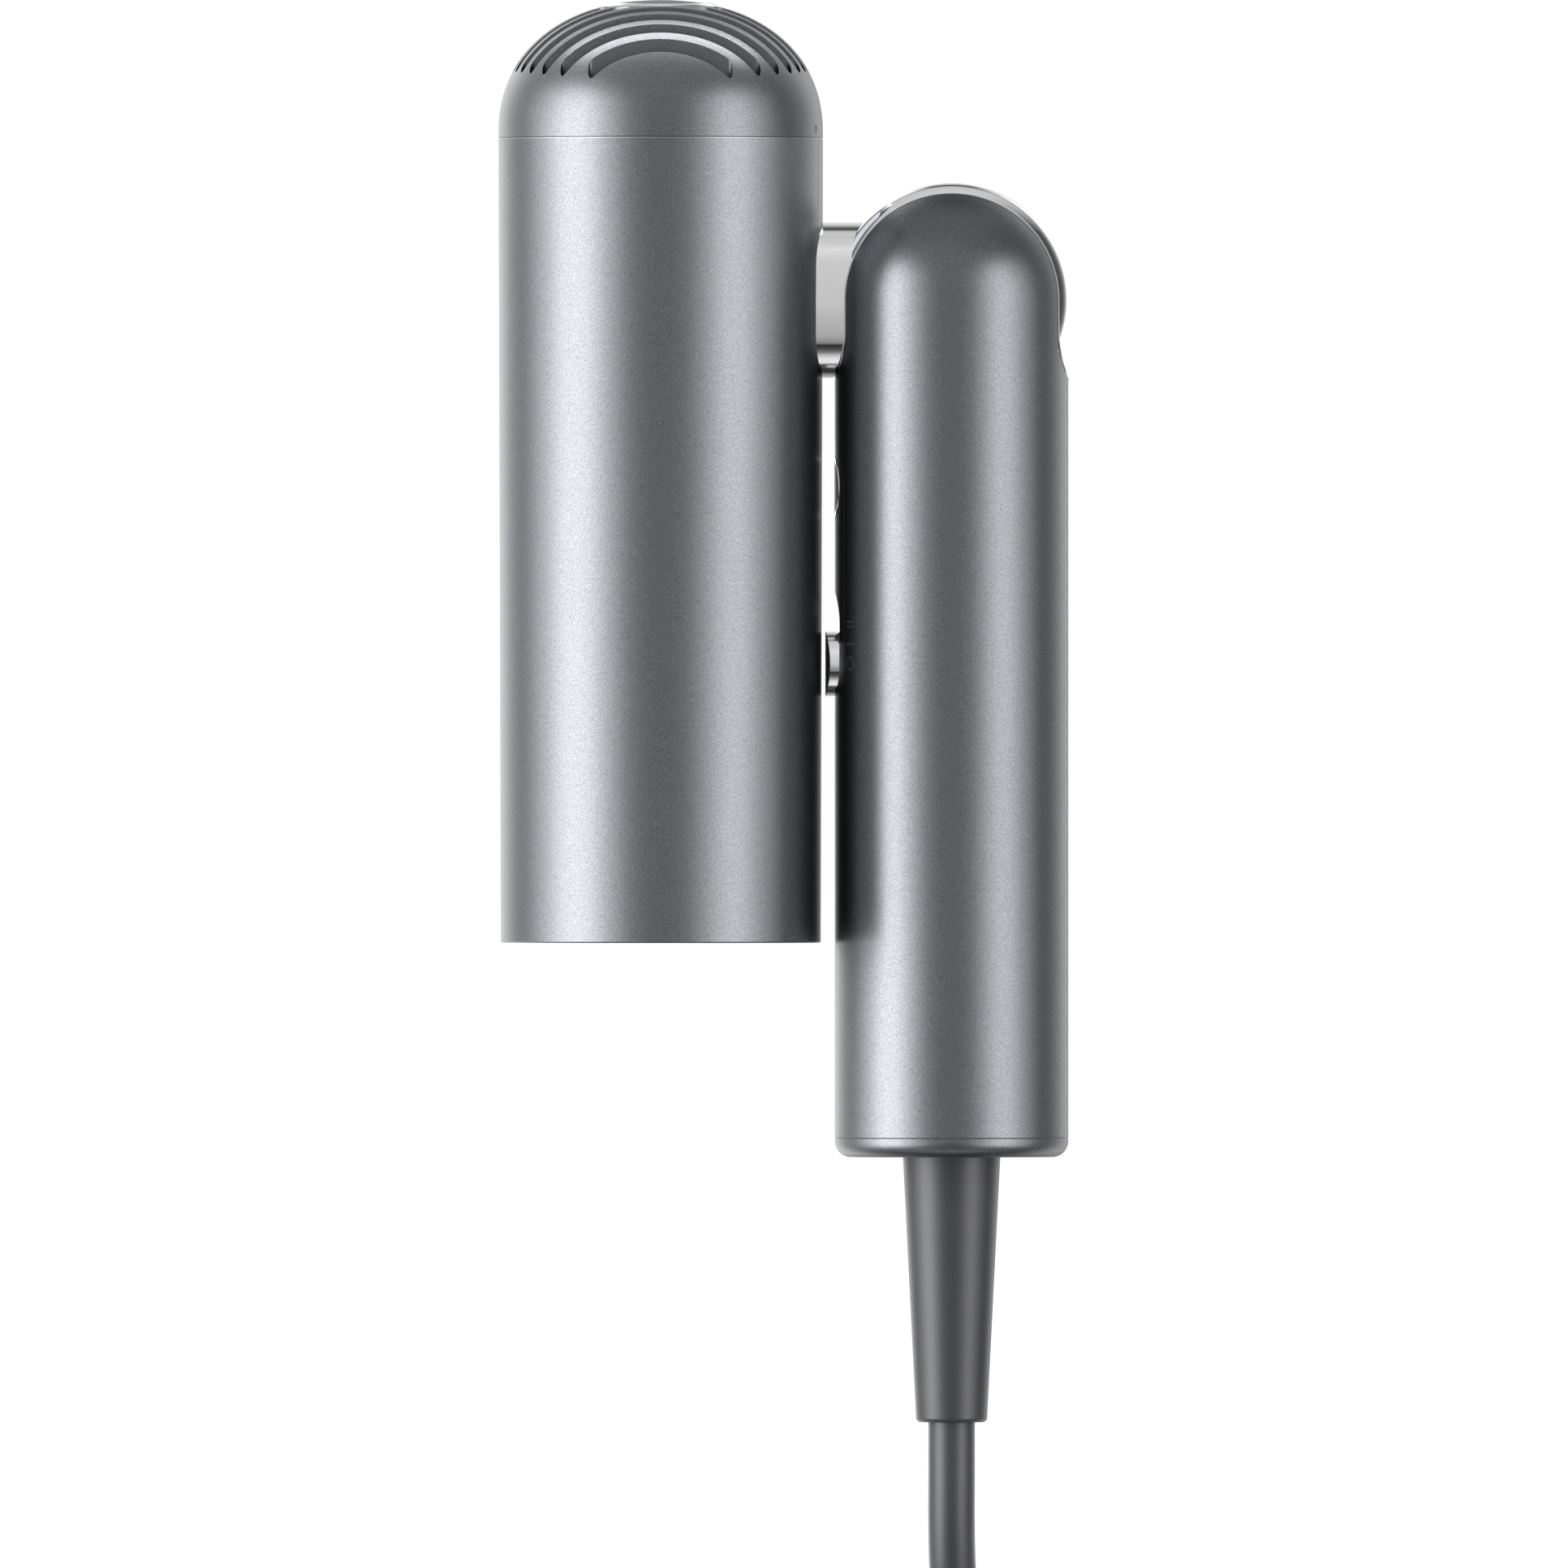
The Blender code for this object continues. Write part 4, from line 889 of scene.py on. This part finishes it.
def make_outlet():
    """The lit ring and the magnet ring inside the barrel's mouth."""
    outline = ring(20.6, 22.6, 136.5, 139.6, 0.2)
    lens = turned("outlet_light_ring", outline, IN_BARREL, FROSTED, segments=128)
    finish_piece(lens, "barrel", "lens", "light_ring")
    outline = [(20.6, 140), (22.8, 140), (22.8, 143.9), (20.9, 143.9), (20.6, 143.6)]
    magnet = turned("outlet_magnet_ring", outline, IN_BARREL, STEEL, segments=160)
    finish_piece(magnet, "barrel", "steel", "nozzle_magnet_ring")


# ---------------------------------------------------------------- handle


def ball_top(radius, steps):
    """(radius, station) points of the handle's round top, centred on the hinge."""
    points = []
    for k in range(steps + 1):
        turn = math.pi / 2 * k / steps
        points.append((radius * math.sin(turn), HINGE_S - radius * math.cos(turn)))
    return points


def slot_cutter():
    """The slot between the ears: open at the top, round at its end."""
    half = SLOT_W / 2
    outline = [(0, half)] + arc(-(HINGE_S + SLOT_END), 0, half, 90, 270, 48) + [(0, -half)]
    return prisms("slot_cutter", [(outline, -30, 30)], place(ALONG_X, HANDLE_X, TOP_Y, MID_Z))


def slot_edge():
    """Points along the slot's edge on the handle's surface: over both ears and down round both ends."""
    half = SLOT_W / 2
    reach = math.sqrt(HANDLE_R**2 - half**2)
    over = [(x, y, half) for x, y in arc(0, 0, reach, 0, 180, 72)]
    points = list(over)
    for side, way in ((-1, 1), (1, -1)):
        for angle in range(4, 180, 4):
            turn = math.radians(angle)
            height = way * half * math.cos(turn)
            across = side * math.sqrt(HANDLE_R**2 - height**2)
            points.append((across, -SLOT_END - half * math.sin(turn), height))
        if side < 0:
            points += [(-x, y, -half) for x, y, _ in over]
    return points


def make_slot_edge():
    """The polished bevel round the slot, a hair wide."""
    points = [ON_HINGE @ Vector(at) for at in slot_edge()]
    edge = tube("slot_bevel", points, 0.15, 2, CHROME, closed=True)
    finish_piece(edge, "handle", "chrome")


def make_handle():
    """The handle's tube with its round top, the slot for the hinge arm, and the control panel's window."""
    outer, inner = ball_top(HANDLE_R, 64), ball_top(HANDLE_BORE_R, 32)
    outer[0], inner[0] = (0, HINGE_S - HANDLE_R), (0, HINGE_S - HANDLE_BORE_R)
    end = HANDLE_SEAM_S
    lip = [(HANDLE_R, end - 0.04), (HANDLE_R - 0.04, end), (HANDLE_BORE_R, end)]
    outline = outer + lip + inner[::-1]
    shell = turned("handle_tube", outline, IN_HANDLE, SATIN, segments=256)
    half = SLOT_W / 2 - 0.02
    pocket = turned("pocket", ring(0, HANDLE_R + 0.3, -half, half), ON_HINGE, segments=192)
    middle, panel_half = (PANEL_LOW_S + PANEL_HIGH_S) / 2, (PANEL_HIGH_S - PANEL_LOW_S) / 2
    around_panel = stadium(panel_half + 0.1, PANEL_W / 2 + 0.1)
    window = prisms("window", [(around_panel, -25, -5)], side_of_handle(middle))
    shape(shell, "DIFFERENCE", slot_cutter(), pocket, window)
    shade_turned(shell, [(IN_HANDLE, outline)])
    finish_piece(shell, "handle", "grey_metal", "handle_shell")


def make_panel():
    """The control inlay: flush with the handle, with a flat-bottomed track for the switch."""
    middle, half = (PANEL_LOW_S + PANEL_HIGH_S) / 2, (PANEL_HIGH_S - PANEL_LOW_S) / 2
    blank = [(stadium(half, PANEL_W / 2), -20, -14.8)]
    panel = prisms("control_inlay", blank, side_of_handle(middle), SATIN)
    skin = ring(0, HANDLE_R - 0.02, 60, 120)
    shape(panel, "INTERSECT", turned("skin", skin, IN_HANDLE, segments=256))
    hole = turned("hole", ring(0, 4.95, -25, -5), side_of_handle(BUTTON_S), segments=96)
    at_track = side_of_handle(KNOB_S - KNOB_TRAVEL / 2)
    track_r, stem_r = KNOB_R + 0.12, 1.9
    track = prisms("track", [(stadium(track_r + KNOB_TRAVEL / 2, track_r, 32), -25, -17.15)], at_track)
    stem = prisms("stem", [(stadium(stem_r + KNOB_TRAVEL / 2, stem_r), -25, -10)], at_track)
    shape(panel, "DIFFERENCE", hole, track, stem)
    shade_turned(panel, [(IN_HANDLE, skin)])
    finish_piece(panel, "handle", "grey_metal", "control_panel")


def make_switch():
    """The round knob: a bright side band and a dark convex face."""
    at_knob = side_of_handle(KNOB_S)
    edge, top = 0.25, -20.5
    outline = [(0, top), (KNOB_R, top), (KNOB_R, -17.3), (KNOB_R - edge, -17.05)]
    outline += [(1.6, -17.05), (1.6, -12.6), (0, -12.6)]
    knob = turned("switch_knob", outline, at_knob, CHROME, segments=160)
    face = ring(0, KNOB_FACE_R - 0.12, 85, 118)
    shape(knob, "INTERSECT", turned("face", face, IN_HANDLE, segments=384))
    shade_turned(knob, [(at_knob, outline), (IN_HANDLE, face)])
    finish_piece(knob, "speed_knob", "chrome", "speed_knob")
    pad = turned("switch_pad", ring(0, KNOB_R - 0.07, top, -18.4), at_knob, DARK_PLASTIC, segments=160)
    cover = ring(0, KNOB_FACE_R, 85, 118)
    shape(pad, "INTERSECT", turned("cover", cover, IN_HANDLE, segments=384))
    shade_turned(pad, [(IN_HANDLE, cover)])
    finish_piece(pad, "speed_knob", "dark_plastic")


def make_button():
    """The mode button: its polished bezel, its cap with a thin groove, and the light in the groove."""
    at_button = side_of_handle(BUTTON_S)
    skin = ring(0, HANDLE_R + 0.05, 65, 85)
    bezel = turned("button_bright_bezel", ring(*BEZEL), at_button, CHROME, segments=128)
    shape(bezel, "INTERSECT", turned("skin", skin, IN_HANDLE, segments=384))
    shade_turned(bezel, [(IN_HANDLE, skin), (at_button, ring(*BEZEL))])
    finish_piece(bezel, "handle", "chrome", "button_bezel")
    outline = [(0, -19), (4.2, -19), (4.2, -15.4), (1.4, -15.4), (1.4, -13.7), (0, -13.7)]
    button = turned("mode_button_cap", outline, at_button, SATIN, segments=128)
    shape(button, "INTERSECT", turned("skin", skin, IN_HANDLE, segments=384))
    groove = turned("groove", ring(3.15, 3.45, -19, -17.4), at_button, segments=96)
    shape(button, "DIFFERENCE", groove)
    shade_turned(button, [(IN_HANDLE, skin), (at_button, outline)])
    finish_piece(button, "mode_button", "chrome", "mode_button")
    glow = turned("mode_button_light", ring(3.18, 3.42, -17.7, -17.3), at_button, FROSTED, segments=96)
    finish_piece(glow, "mode_button", "lens")


def make_marks():
    """The switch's three marks, printed beside its track on the handle's side."""
    turn = facing(-1, math.asin(8.9 / HANDLE_R))
    low, high = HANDLE_R - 0.3, HANDLE_R + 0.012
    for name, step in (("mark_off", 0), ("mark_low", 1), ("mark_high", 2)):
        where = IN_HANDLE @ place(turn, 0, 0, KNOB_S - step * KNOB_TRAVEL / 2)
        if step:
            bars = [(k - (step - 1) / 2) * 0.75 for k in range(step)]
            parts = [(rectangle(-1.2, 1.2, bar - 0.11, bar + 0.11), low, high) for bar in bars]
            mark = prisms(name, parts, where, PALE_MARK)
        else:
            mark = turned(name, ring(0.85, 1.07, low, high), where, PALE_MARK, segments=48)
        finish_piece(mark, "handle", "grey_metal")


def make_handle_end():
    """The end cap with its rounded edge, the seal in its seam, and the tapered strain relief."""
    start = HANDLE_SEAM_S + 2 * SEAM_GAP
    edge_r, edge_s = 2.4, 2.5
    outline = [(HANDLE_R - 0.04, start), (HANDLE_R, start + 0.04)]
    for k in range(17):
        turn = math.pi / 2 * k / 16
        across, down = edge_r * math.cos(turn), edge_s * math.sin(turn)
        outline.append((HANDLE_R - edge_r + across, HANDLE_END_S - edge_s + down))
    hole_r, inside_r, floor_s = 7.75, 15.9, 175.2
    outline += [(hole_r, HANDLE_END_S), (hole_r, floor_s), (inside_r, floor_s), (inside_r, start)]
    cap = turned("handle_end_cap", outline, IN_HANDLE, SATIN, segments=256)
    finish_piece(cap, "handle", "grey_metal", "end_cap")
    fill = ring(16.2, HANDLE_R - 0.12, HANDLE_SEAM_S - 0.01, start + 0.01)
    seal = turned("end_cap_seal", fill, IN_HANDLE, DARK_PLASTIC, segments=192)
    finish_piece(seal, "handle", "dark_plastic")
    tip = arc(4.75, RELIEF_END_S - 0.8, 0.75, 0, 90, 8)
    outline = [(0, 175.4), (7.6, 175.4), (7.5, HANDLE_END_S + 0.4)] + tip + [(0, RELIEF_END_S - 0.05)]
    relief = turned("tapered_relief", outline, IN_HANDLE, CHARCOAL, segments=160)
    finish_piece(relief, "handle", "dark_plastic", "strain_relief")


# ---------------------------------------------------------------- carried-over nodes


def finish_nodes():
    """Gives the nodes that stay as they are their materials."""
    by_slot = {
        "grey_metal": SATIN, "chrome": CHROME, "steel": STEEL, "aluminium": ALUMINIUM,
        "dark_plastic": DARK_PLASTIC, "mesh_grey": FILTER_CLOTH, "white_plastic": PALE_PLASTIC,
        "rubber": CORD_RUBBER, "mica": MICA, "board_green": BOARD, "copper": COPPER, "lens": FROSTED,
    }  # fmt: skip
    slots = {part["node"]: part["material_slot"] for part in frame["record"]["subparts"]}
    for name, node in frame["nodes"].items():
        material = by_slot[slots[name]]
        node.data.materials.clear()
        node.data.materials.append(material)


make_camera()
make_world()
make_floor()
make_lead()
make_intake()
make_filter()
make_barrel()
make_hinge_arm()
make_outlet()
make_handle()
make_slot_edge()
make_panel()
make_switch()
make_button()
make_marks()
make_handle_end()
finish_nodes()
make_soft_boxes()
